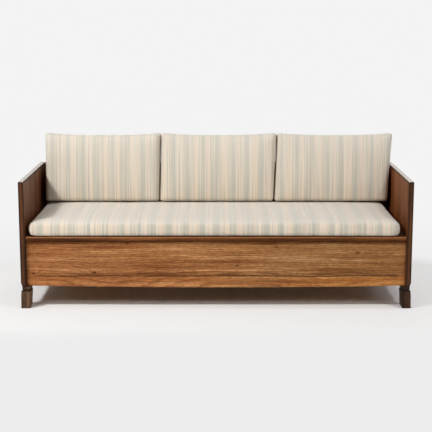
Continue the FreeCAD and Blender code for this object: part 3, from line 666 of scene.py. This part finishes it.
# Front plank: the first band is painted shadow, darkening the top strip under the seat nose.
PLANK_WOOD = WoodFinish(
    "plank_wood", Grain.UPRIGHT, tone(212, 160, 108), tone(182, 126, 76), tone(132, 78, 38),
    tone(200, 156, 112), roughness=0.6, ring_depth=0.85, pith_across=0.1, pith_depth=0.16, wander=0.024,
    mottle=0.24, turn=((0.92, 0.845, 0.785), (1.0, 0.99, 0.94), (0.86, 0.91, 0.88)), turn_ends=(-0.6, 0.6),
    bands=(Band(0.35, 0.327, (0.46, 0.34, 0.2)), Band(0.16, 0.173, (1.06, 1.0, 0.94), 0.002),
           Band(0.16, 0.173, (1.42, 1.38, 1.22), 0.002, (0.2, 0.7))),
    knots=(Knot(-0.94, 0.182, 0.006), Knot(-0.626, 0.187, 0.006), Knot(0.727, 0.289, 0.005, 3.0),
           Knot(0.309, 0.321, 0.004), Knot(0.108, 0.221, 0.004), Knot(-0.456, 0.342, 0.005)),
    streaks=(Streak(0.168, 0.006, 1.0, -0.97, 0.99, 0.004, (0.2, 0.5)),
             Streak(0.181, 0.007, 0.7, -0.94, 0.2, 0.011), Streak(0.178, 0.007, 0.65, 0.1, 0.99, 0.009),
             Streak(0.291, 0.006, 0.5, 0.66, 0.98, 0.01), Streak(0.24, 0.004, 0.4, -0.6, 0.5),
             Streak(0.27, 0.004, 0.4, -0.8, 0.9, 0.01), Streak(0.21, 0.004, 0.35, -0.95, 0.3, 0.01),
             Streak(0.14, 0.004, 0.35, -0.97, 0.4)))
# Seat nose: its top tint is a painted highlight on the rounded upper part, and its level is a painted shadow
# on the flat strip under the mattress.
NOSE_WOOD = WoodFinish(
    "nose_wood", Grain.FLAT, tone(154, 97, 50), tone(112, 64, 28), tone(70, 35, 12), tone(188, 142, 98),
    shine=0.1, pith_across=-0.3, pith_depth=0.1, arris_mark_width=0.006, top=tone(162, 110, 69),
    top_turn=(0.25, 0.8), level=tone(74, 40, 16))
# End panels: the pale top is partly rubbed wear and partly a painted highlight; the near-black arris marks
# are partly dark edges and partly painted shade.
END_WOOD = WoodFinish(
    "end_wood", Grain.STANDING, tone(146, 89, 49), tone(110, 65, 34), tone(60, 33, 18), tone(26, 18, 14),
    polish=1.0, ring_spacing=0.009, pith_across=0.05, pith_depth=0.9, arris_mark=0.95, arris_mark_width=0.016,
    arris_mark_bend=(0.002, 0.02), arris_mark_patches=(0.05, 0.3), top=tone(206, 186, 168), front=(0.78, 0.8, 0.86))
# Right end: a lighter copy of the end wood whose brighter tones are painted light, standing in for the key
# light on the right arm's inner face; its darker front tint is the edges' own colour.
LIT_RIGHT_END_WOOD = replace(
    END_WOOD, name="right_end_wood", pale=tone(172, 104, 54), middle=tone(134, 76, 37), dark=tone(72, 39, 19),
    front=(0.44, 0.52, 0.6))
# Feet: the near-black arris marks are partly dark edges and partly painted shade on the rounded arrises and
# in the groove.
FOOT_WOOD = WoodFinish(
    "foot_wood", Grain.STANDING, tone(146, 112, 84), tone(112, 82, 58), tone(54, 36, 25), tone(30, 21, 16),
    roughness=0.6, ring_spacing=0.006, pith_depth=0.94, mottle=0.2, arris_mark=0.95, arris_mark_width=0.01,
    arris_mark_bend=(0.006, 0.05), arris_mark_patches=(0.1, 0.35))
DARK_FOOT_WOOD = replace(
    FOOT_WOOD, name="dark_foot_wood", pale=tone(96, 64, 42), middle=tone(70, 45, 28), dark=tone(38, 23, 14))
BACK_WOOD = WoodFinish(
    "back_wood", Grain.UPRIGHT, tone(180, 132, 84), tone(156, 106, 62), tone(112, 70, 36),
    tone(188, 148, 108), roughness=0.62, pith_across=0.3, pith_depth=-0.3, by_board=True)
LID_WOOD = WoodFinish(
    "lid_wood", Grain.FLAT, tone(204, 162, 110), tone(182, 136, 84), tone(138, 94, 52), tone(206, 172, 132),
    roughness=0.65, pith_depth=-0.3, arris_mark=0.35, by_board=True)
RAIL_WOOD = WoodFinish(
    "rail_wood", Grain.UPRIGHT, tone(196, 152, 102), tone(172, 126, 78), tone(128, 86, 48),
    tone(200, 164, 124), roughness=0.65, pith_depth=0.3, arris_mark=0.35, by_board=True)
BATTEN_WOOD = replace(RAIL_WOOD, name="batten_wood", grain=Grain.CROSSWAYS)
POST_WOOD = replace(RAIL_WOOD, name="post_wood", grain=Grain.STANDING)
DOWEL_WOOD = WoodFinish(
    "dowel_wood", Grain.FLAT, tone(214, 176, 126), tone(190, 148, 98), tone(150, 108, 66),
    tone(210, 180, 140), roughness=0.62, ring_spacing=0.003, pith_depth=0.2, arris_mark=0.2, by_board=True)
STEEL = SteelFinish("fastener_steel", tone(150, 148, 144), tone(92, 66, 48))

PEACH = tone(228, 209, 186)
CREAM = tone(222, 211, 192)
ROSE = tone(225, 207, 188)
SAGE = tone(200, 193, 177)
MIST = tone(193, 188, 175)
SAND = tone(213, 202, 183)
# Stripe cloth; its last tone is the pale wash of the painted sheen.
STRIPE_CLOTH = ClothFinish(
    "stripe_cloth", 0.33,
    ((0.0, SAGE), (0.07, MIST), (0.115, CREAM), (0.17, PEACH), (0.215, PEACH), (0.25, SAND), (0.29, MIST),
     (0.34, SAGE), (0.38, ROSE), (0.44, ROSE), (0.47, CREAM), (0.51, SAND), (0.55, MIST), (0.6, SAGE),
     (0.635, PEACH), (0.69, CREAM), (0.72, PEACH), (0.76, SAND), (0.81, SAGE), (0.85, MIST), (0.885, CREAM),
     (0.94, ROSE), (0.97, CREAM), (1.0, SAGE)), tone(230, 223, 212))


@lru_cache(maxsize=None)
def material_of(finish: Union[WoodFinish, SteelFinish, ClothFinish]) -> bpy.types.Material:
    """Material of a finish, made once."""
    return finish.material()


@dataclass
class Woodwork:
    """Boards of one sub-assembly, which stay the frame's own nodes and get eased arrises and finishes."""

    name: str
    arris: float = 0.0012
    arris_steps: int = 2
    arris_angle: float = 40.0
    join: float = 0.00002

    def finishes(self) -> NodeFinishes:
        """Finish of each node."""
        return {}

    def build(self) -> None:
        """Ease the sharp arrises of the boards."""
        for name, finish in self.finishes().items():
            if isinstance(finish, SteelFinish):
                continue
            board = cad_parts[name]
            board.modifiers.new("joined", "WELD").merge_threshold = self.join
            bevel = board.modifiers.new("eased", "BEVEL")
            bevel.width = self.arris
            bevel.segments = self.arris_steps
            bevel.limit_method = "ANGLE"
            bevel.angle_limit = math.radians(self.arris_angle)
            bevel.harden_normals = True

    def dress(self) -> list[str]:
        """Give each node its finish.

        Returns:
            Names of the nodes.
        """
        for name, finish in self.finishes().items():
            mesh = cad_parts[name].data
            mesh.materials.clear()
            mesh.materials.append(material_of(finish))
        return list(self.finishes())


@dataclass
class EndFrames(Woodwork):
    """Plank ends with their feet, and the low rails between them."""

    def finishes(self) -> NodeFinishes:
        """Finish of each node.

        Returns:
            Finishes by the names of the nodes.
        """
        chosen: NodeFinishes = {
            "front_rail": RAIL_WOOD, "rear_rail": RAIL_WOOD, "front_stretcher": LID_WOOD,
            "rear_stretcher": LID_WOOD, "foot_dowels": DOWEL_WOOD, "rail_dowels": DOWEL_WOOD,
            "runner_screws": STEEL, "cleat_screws": STEEL,
        }
        # The right end takes the copy of the end wood whose brighter tones are painted light.
        for side, end, foot in (("left", END_WOOD, FOOT_WOOD), ("right", LIT_RIGHT_END_WOOD, DARK_FOOT_WOOD)):
            chosen[f"{side}_end_panel"] = end
            chosen[f"{side}_front_foot"] = foot
            chosen[f"{side}_rear_foot"] = foot
            for piece in ("seat_cleat", "seat_bearer", "stop_block", "runner"):
                chosen[f"{side}_{piece}"] = BATTEN_WOOD
        return chosen


@dataclass
class BoardedBack(Woodwork):
    """Boards of the back with their batten and nails."""

    boards: int = 4

    def finishes(self) -> NodeFinishes:
        """Finish of each node."""
        boards = {f"back_board_{number}": BACK_WOOD for number in range(1, self.boards + 1)}
        return {"back_batten": POST_WOOD, "back_nails": STEEL, **boards}


@dataclass
class BattenedBoards(Woodwork):
    """Boards laid on three battens."""

    boards: int = 4

    def battens(self, stem: str) -> NodeFinishes:
        """Finish of the three battens."""
        return {f"{stem}_{place}_batten": BATTEN_WOOD for place in ("left", "centre", "right")}


@dataclass
class SeatLid(BattenedBoards):
    """Seat boards on their battens; the first has the rounded nose."""

    def finishes(self) -> NodeFinishes:
        """Finish of each node."""
        boards = {f"seat_board_{number}": LID_WOOD for number in range(2, self.boards + 1)}
        return {"seat_board_1": NOSE_WOOD, "lid_screws": STEEL, **boards, **self.battens("lid")}


@dataclass
class BeddingBox(BattenedBoards):
    """Pull-out box behind the deep front plank."""

    def finishes(self) -> NodeFinishes:
        """Finish of each node.

        Returns:
            Finishes by the names of the nodes.
        """
        boards = {f"box_bottom_board_{number}": LID_WOOD for number in range(1, self.boards + 1)}
        return {
            "box_front": PLANK_WOOD, "box_back": RAIL_WOOD, "box_left_side": BATTEN_WOOD,
            "box_right_side": BATTEN_WOOD, "box_dowels": DOWEL_WOOD, "box_nails": STEEL,
            **boards, **self.battens("box"),
        }


def mesh_points(mesh: bpy.types.Mesh, field: str = "co") -> Points:
    """What a mesh says of its points.

    Args:
        mesh: Mesh that is read.
        field: Their places, or another property of theirs.

    Returns:
        One row for each point.
    """
    flat = np.zeros(len(mesh.vertices) * 3, np.float32)
    mesh.vertices.foreach_get(field, flat)
    return flat.reshape(-1, 3).astype(float)


def set_points(mesh: bpy.types.Mesh, points: Points) -> None:
    """Move a mesh's points to new places, one row for each."""
    mesh.vertices.foreach_set("co", points.astype(np.float32).ravel())
    mesh.update()


def evaluated_mesh(piece: bpy.types.Object) -> bpy.types.Mesh:
    """New mesh of a piece with its modifiers."""
    depsgraph = bpy.context.evaluated_depsgraph_get()
    return bpy.data.meshes.new_from_object(piece.evaluated_get(depsgraph), depsgraph=depsgraph)


def new_piece(name: str, data: bpy.types.ID) -> bpy.types.Object:
    """Object in the scene.

    Args:
        name: Name of the object.
        data: Its mesh, light or camera.

    Returns:
        The object.
    """
    piece = bpy.data.objects.new(name, data)
    bpy.context.scene.collection.objects.link(piece)
    return piece


# Turns in a metre on the three axes, and phase, of each wave.
SLACK_WAVES = (((1.1, 0.7, 0.4), 0.3), ((2.3, -1.9, 1.1), 1.7),
               ((-3.1, 2.7, 2.2), 4.1), ((4.7, 3.9, -2.6), 2.6))


def slack_of(points: Points) -> Points:
    """Slow even waves of slack cloth, one number from about -1 to 1 for each place."""
    waves = [np.sin(math.tau * (points @ np.array(turns)) + phase) for turns, phase in SLACK_WAVES]
    return sum(waves) / len(waves)


CLOTH_SETTINGS = {"quality": 4, "mass": 0.3, "tension_stiffness": 25, "compression_stiffness": 25,
                  "shear_stiffness": 10, "bending_stiffness": 2, "use_pressure": True}


@dataclass
class Cushion:
    """Stuffed cushion that swells inside the room of its solids, with a sewn seam round it.

    The painted sheen is a pale wash on the cloth: its share on the standing cloth, which grows towards the
    top, and on the cloth on top.
    """

    name: str
    lean: float
    fill: float
    stripe_shift: float
    seam_level: float
    voxel: float
    flat_base: bool
    fade: Span
    slack: float = 0.95
    swell: float = 3.0
    cap: float = 0.006
    frames: int = 14
    resting_depth: float = 0.004
    waviness: float = 0.0012
    side_swell: float = 0.0
    side_power: int = 31
    peak: float = 0.0
    peak_powers: tuple[int, int] = (4, 6)
    side_facing: float = 0.8
    top_facing: Span = (0.55, 0.95)
    sheen_rise: Span = (0.05, 1.45)
    seam_radius: float = 0.0016
    seam_sink: float = 0.001
    seam_sides: int = 8
    seam_ease: int = 3
    room: float = 0.0004

    def axes(self) -> tuple[Points, Points]:
        """Frame of the cushion.

        Returns:
            Its middle, and its width, height and thickness directions as rows.
        """
        low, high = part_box(f"{self.name}_cover")
        middle = np.array((low + high) / 2)
        if self.flat_base:
            return middle, np.eye(3)
        back, up = math.sin(math.radians(self.lean)), math.cos(math.radians(self.lean))
        return middle, np.array(((1.0, 0.0, 0.0), (0.0, back, up), (0.0, -up, back)))

    def local(self, points: Points) -> Points:
        """Points in the cushion's own frame."""
        middle, rows = self.axes()
        return (points - middle) @ rows.T

    def world(self, points: Points) -> Points:
        """Points of the cushion's own frame in the part's frame."""
        middle, rows = self.axes()
        return points @ rows + middle

    def limits(self) -> tuple[Points, Points]:
        """Lowest and highest corner of the cushion's room, in its own frame."""
        points = self.local(mesh_points(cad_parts[f"{self.name}_cover"].data))
        return points.min(0) + self.room, points.max(0) - self.room

    def start(self) -> bpy.types.Object:
        """Slack form that will swell: the core, brought to the size of the cover and thinned.

        Returns:
            The remeshed piece.
        """
        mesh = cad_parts[f"{self.name}_core"].data.copy()
        points = self.local(mesh_points(mesh))
        low, high = self.limits()
        share = (points - points.min(0)) / (points.max(0) - points.min(0))
        points = low + share * (high - low)
        base = low[2] if self.flat_base else 0.0
        points[:, 2] = base + (points[:, 2] - base) * self.slack
        set_points(mesh, self.world(points))
        form = new_piece(f"{self.name}_form", mesh)
        piece = new_piece(f"{self.name}_cloth", mesh.copy())
        remesh = piece.modifiers.new("even", "REMESH")
        remesh.mode = "VOXEL"
        remesh.voxel_size = self.voxel
        piece.modifiers.new("smooth", "SMOOTH").iterations = 2
        piece.modifiers.new("hug", "SHRINKWRAP").target = form
        even = evaluated_mesh(piece)
        piece.modifiers.clear()
        piece.data = even
        bpy.data.objects.remove(form)
        return piece

    def simulate(self, piece: bpy.types.Object) -> Points:
        """Swell a piece by pressure from inside.

        Args:
            piece: Slack form.

        Returns:
            Places of its points, which swell through the thickness and keep the line of the sides.
        """
        before = mesh_points(piece.data)
        cloth = piece.modifiers.new("swell", "CLOTH")
        for key, value in CLOTH_SETTINGS.items():
            setattr(cloth.settings, key, value)
        cloth.settings.uniform_pressure_force = self.swell
        cloth.settings.effector_weights.gravity = 0
        if self.flat_base:
            resting = np.nonzero(before[:, 2] < before[:, 2].min() + self.resting_depth)[0]
            piece.vertex_groups.new(name="resting").add(resting.tolist(), 1.0, "REPLACE")
            cloth.settings.vertex_group_mass = "resting"
        cloth.point_cache.frame_start = 1
        cloth.point_cache.frame_end = self.frames
        for number in range(1, self.frames + 1):
            bpy.context.scene.frame_set(number)
        swollen = evaluated_mesh(piece)
        after = mesh_points(swollen)
        bpy.data.meshes.remove(swollen)
        piece.modifiers.clear()
        bpy.context.scene.frame_set(1)
        _, rows = self.axes()
        swell = (after - before) @ rows[2]
        share = min(1.0, self.cap / np.abs(swell).max())
        return before + np.outer(swell * share, rows[2])

    def settle(self, points: Points) -> Points:
        """Slack waves, the room that the cushion has, plump sides and peaked top corners.

        Args:
            points: Places in the part's frame.

        Returns:
            Places inside the room, apart from the sides and the peaks.
        """
        local = self.local(points)
        low, high = self.limits()
        rise = (local[:, 2] - local[:, 2].min()) / np.ptp(local[:, 2])
        free = self.waviness * (rise if self.flat_base else np.ones(len(local)))
        local[:, 2] += slack_of(local) * free
        local[:, 1] += slack_of(local[:, [1, 2, 0]]) * free
        share = (local - local.min(0)) / np.ptp(local, axis=0)
        middling = 2 * share - 1
        plump = (1 - middling[:, 1] ** 2) * (1 - middling[:, 2] ** 2) * middling[:, 0] ** self.side_power
        across, upward = self.peak_powers
        settled = low + share * (high - low)
        settled[:, 0] += plump * self.side_swell
        settled[:, 1] += middling[:, 0] ** across * share[:, 1] ** upward * self.peak
        settled = self.world(settled)
        settled[:, 2] = np.maximum(settled[:, 2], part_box(f"{self.name}_cover")[0].z + self.room)
        return settled

    def weave(self, mesh: bpy.types.Mesh) -> None:
        """Lay the cloth on a mesh: the place across and along its stripes and the share of their painted
        sheen, kept as attributes.

        Args:
            mesh: Mesh in the part's frame.
        """
        local = self.local(mesh_points(mesh))
        normals = mesh_points(mesh, "normal")
        _, rows = self.axes()
        side = np.abs(normals @ rows.T)[:, 0] > self.side_facing
        depth = local[:, 1] if self.flat_base else local[:, 2]
        across = np.where(side, depth, local[:, 0]) + self.stripe_shift
        along = local[:, 1] - local[:, 2]
        place = np.stack((across, along, np.full(len(local), self.stripe_shift)), axis=1)
        layer = mesh.attributes.new(STRIPE_CLOTH.attribute, "FLOAT_VECTOR", "POINT")
        layer.data.foreach_set("vector", place.astype(np.float32).ravel())
        # Painted sheen: paler towards the top of standing cloth, strongest on cloth that faces up.
        standing, topmost = self.fade
        height = (local[:, 1] - local[:, 1].min()) / np.ptp(local[:, 1])
        standing = standing * np.interp(height, (0.0, 1.0), self.sheen_rise)
        upper = np.interp(normals[:, 2], self.top_facing, (0.0, 1.0))
        layer = mesh.attributes.new(STRIPE_CLOTH.sheen_attribute, "FLOAT", "POINT")
        layer.data.foreach_set("value", (standing + (topmost - standing) * upper).astype(np.float32))

    def outline(self, mesh: bpy.types.Mesh) -> Points:
        """Line round the cushion at the level of its seam.

        Args:
            mesh: Mesh in the part's frame.

        Returns:
            Places in order round the cushion.
        """
        middle, rows = self.axes()
        low, high = self.limits()
        level = low[2] + (high[2] - low[2]) * self.seam_level
        net = bmesh.new()
        net.from_mesh(mesh)
        cut = bmesh.ops.bisect_plane(net, geom=net.verts[:] + net.edges[:] + net.faces[:], dist=1e-6,
                                     plane_co=Vector(middle + rows[2] * level), plane_no=Vector(rows[2]))
        found = [item.co.copy() for item in cut["geom_cut"] if isinstance(item, bmesh.types.BMVert)]
        net.free()
        local = self.local(np.array(found))
        order = np.argsort(np.arctan2(local[:, 1] / high[1], local[:, 0] / high[0]))
        return self.world(local[order])

    def seam(self, mesh: bpy.types.Mesh) -> bpy.types.Object:
        """Narrow ridge of folded cloth along the seam.

        Args:
            mesh: Mesh in the part's frame.

        Returns:
            The seam.
        """
        line = self.outline(mesh)
        count, ring = len(line), self.seam_sides
        ahead = np.roll(line, -self.seam_ease, axis=0) - np.roll(line, self.seam_ease, axis=0)
        ahead /= np.linalg.norm(ahead, axis=1, keepdims=True)
        _, rows = self.axes()
        out = np.cross(ahead, rows[2])
        out /= np.linalg.norm(out, axis=1, keepdims=True)
        turns = np.linspace(0, math.tau, ring, endpoint=False)
        lift = np.cos(turns)[None, :, None] * out[:, None, :] + np.sin(turns)[None, :, None] * rows[2]
        points = ((line - out * self.seam_sink)[:, None, :] + lift * self.seam_radius).reshape(-1, 3)
        here = np.arange(count * ring).reshape(count, ring)
        following = np.roll(here, -1, axis=0)
        corners = (here, np.roll(here, -1, axis=1), np.roll(following, -1, axis=1), following)
        faces = np.stack(corners, axis=-1).reshape(-1, 4).tolist()
        seam = bpy.data.meshes.new(f"{self.name}_seam")
        seam.from_pydata(points.tolist(), [], faces)
        seam.shade_smooth()
        seam.update()
        return new_piece(f"{self.name}_seam", seam)

    def build(self) -> list[bpy.types.Object]:
        """Make the cushion and its seam.

        Returns:
            Both pieces.
        """
        piece = self.start()
        points = self.simulate(piece)
        set_points(piece.data, self.settle(points))
        piece.vertex_groups.clear()
        piece.modifiers.new("finer", "SUBSURF").levels = 1
        fine = evaluated_mesh(piece)
        piece.modifiers.clear()
        piece.data = fine
        fine.name = piece.name
        fine.shade_smooth()
        return [piece, self.seam(fine)]

    def dress(self, pieces: Sequence[bpy.types.Object]) -> None:
        """Cover the pieces with cloth and hang them on the cushion's body.

        Args:
            pieces: The cushion, then its seam.
        """
        for piece in pieces:
            self.weave(piece.data)
            piece.data.materials.clear()
            piece.data.materials.append(material_of(STRIPE_CLOTH))
            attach(piece, self.name)
        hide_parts(f"{self.name}_cover", f"{self.name}_core")


@dataclass
class Lamp:
    """Soft box that looks at the sofa."""

    name: str
    place: Place
    size: Span
    power: float
    target: Place = (0.0, -0.1, 0.4)

    def build(self) -> None:
        """Hang the lamp."""
        light = bpy.data.lights.new(self.name, "AREA")
        light.shape = "RECTANGLE"
        light.size, light.size_y = self.size
        light.energy = self.power
        lamp = new_piece(self.name, light)
        lamp.location = self.place
        look = Vector(self.target) - Vector(self.place)
        lamp.rotation_euler = look.to_track_quat("-Z", "Y").to_euler()


LAMPS = (Lamp("high_left", (-3.12, -2.44, 3.86), (0.6, 0.6), 142),
         Lamp("low_left", (-2.69, -4.1, 3.2), (0.6, 0.6), 39),
         Lamp("high_right", (2.6, -2.44, 3.86), (0.6, 0.6), 42),
         Lamp("side_right", (3.4, -2.4, 2.0), (1.2, 1.0), 12),
         Lamp("back_fill", (0.5, 3.8, 2.6), (1.6, 1.0), 40))


@dataclass
class Studio:
    """Pale floor that sweeps up behind, soft boxes and the camera."""

    floor_tone: Tone = (0.95, 0.94, 0.93)
    floor_near: Span = (0.0, 0.02)
    floor_near_share: float = 0.55
    floor_far: Span = (0.1, 0.6)
    floor_level: float = 0.845
    backdrop_start: Span = (0.5, 2.5)
    backdrop_level: float = 0.9
    ambient: Span = (0.06, 0.43)
    floor_width: float = 24.0
    floor_front: float = -9.0
    sweep_start: float = 5.0
    sweep_radius: float = 2.0
    sweep_height: float = 9.0
    sweep_steps: int = 16
    camera_place: Place = (0.0, -6.013, 1.529)
    camera_pitch: float = 10.49
    camera_lens: float = 93.8
    camera_sensor: float = 36.0

    def floor(self) -> None:
        """Floor with its sweep; it is lit near the sofa and plain further off."""
        rows = [(self.floor_front, 0.0), (self.sweep_start, 0.0)]
        for step in range(1, self.sweep_steps + 1):
            angle = math.pi / 2 * step / self.sweep_steps
            rows.append((self.sweep_start + self.sweep_radius * math.sin(angle),
                         self.sweep_radius * (1 - math.cos(angle))))
        rows.append((self.sweep_start + self.sweep_radius, self.sweep_height))
        half = self.floor_width / 2
        points = [(x, y, z) for y, z in rows for x in (-half, half)]
        faces = [(2 * n, 2 * n + 1, 2 * n + 3, 2 * n + 2) for n in range(len(rows) - 1)]
        mesh = bpy.data.meshes.new("floor")
        mesh.from_pydata(points, [], faces)
        mesh.shade_smooth()
        sweep = new_piece("floor", mesh)
        mesh.materials.append(self.floor_material())

    def floor_material(self) -> bpy.types.Material:
        """Pale matt paint that keeps the shadow of the sofa.

        Returns:
            Its material.
        """
        shader = Shader("floor_paint")
        place = shader.add("ShaderNodeNewGeometry", {}).outputs["Position"]
        reach = tuple((high - low) / 2 for low, high in zip(*CAD_BOX))
        aside = shader.vector_calc("ABSOLUTE", place).outputs[0]
        beyond = shader.vector_calc("SUBTRACT", aside, reach).outputs[0]
        outside = shader.vector_calc("MAXIMUM", beyond, (0.0, 0.0, 0.0)).outputs[0]
        distance = shader.vector_calc("LENGTH", outside).outputs["Value"]
        near = shader.span(distance, *self.floor_near, 0.0, self.floor_near_share)
        plain = shader.calc("MAXIMUM", near, shader.span(distance, *self.floor_far))
        shader.paint({"Base Color": self.floor_tone, "Roughness": 0.9, "Specular IOR Level": 0.0})
        back = shader.parts(place)[1]
        level = shader.span(back, *self.backdrop_start, self.floor_level, self.backdrop_level)
        glow = shader.add("ShaderNodeEmission", {"Color": (1.0, 1.0, 1.0), "Strength": level}).outputs[0]
        share = shader.product(plain, shader.seen())
        mix = shader.add("ShaderNodeMixShader", {0: share, 1: shader.surface.outputs[0], 2: glow})
        output = shader.tree.nodes["Material Output"]
        shader.tree.links.new(mix.outputs[0], output.inputs["Surface"])
        return shader.block

    def world(self) -> None:
        """Pale room: nearly white where it is seen, and a low light from above elsewhere."""
        shader = Shader("room", world=True)
        bpy.context.scene.world = shader.block
        height = shader.parts(shader.add("ShaderNodeTexCoord", {}).outputs["Generated"])[2]
        light = shader.span(height, 0.0, 1.0, *self.ambient)
        shown = shader.seen()
        hidden = shader.calc("SUBTRACT", 1.0, shown)
        level = shader.calc("ADD", shader.product(light, hidden), shader.product(shown, self.backdrop_level))
        shader.paint({"Color": (1.0, 1.0, 1.0), "Strength": level})

    def camera(self) -> None:
        """Camera at the viewing angle of the photograph."""
        lens = bpy.data.cameras.new("camera")
        lens.lens = self.camera_lens
        lens.sensor_width = self.camera_sensor
        eye = new_piece("camera", lens)
        eye.location = self.camera_place
        eye.rotation_euler = (math.radians(90 - self.camera_pitch), 0.0, 0.0)
        bpy.context.scene.camera = eye

    def build(self) -> None:
        """Set up the room."""
        bpy.context.scene.view_settings.view_transform = "Standard"
        self.floor()
        self.world()
        for lamp in LAMPS:
            lamp.build()
        self.camera()


def cushions() -> list[Cushion]:
    """The mattress and the three back cushions.

    Returns:
        Cushions in the order in which they are made.
    """
    # Back cushions get a painted sheen that grows towards their top; the mattress gets it only on its top.
    back = partial(Cushion, lean=7.0, fill=0.8, seam_level=0.5, voxel=0.008, flat_base=False, fade=(0.3, 0.4),
                   side_swell=0.0014)
    return [
        Cushion("seat_cushion", lean=0.0, fill=0.85, stripe_shift=0.0045, seam_level=0.1, voxel=0.01,
                flat_base=True, fade=(0.0, 0.55)),
        back("back_cushion_left", stripe_shift=0.05, peak=0.0045),
        back("back_cushion_centre", stripe_shift=0.19, peak=0.0035),
        back("back_cushion_right", stripe_shift=0.31, peak=0.002),
    ]


def main() -> None:
    """Build and dress the whole sofa, then the room, and report each piece."""
    logging.basicConfig(level=logging.INFO, format="%(name)s: %(message)s")
    for assembly in (EndFrames("end frames"), BoardedBack("boarded back"), SeatLid("seat lid"),
                     BeddingBox("bedding box")):
        assembly.build()
        for node in assembly.dress():
            LOG.info("%s: %s dressed", assembly.name, node)
    for cushion in cushions():
        pieces = cushion.build()
        cushion.dress(pieces)
        for piece in pieces:
            LOG.info("%s: %d faces", piece.name, len(piece.data.polygons))
    Studio().build()
    LOG.info("studio ready")


if __name__ == "__main__":
    main()
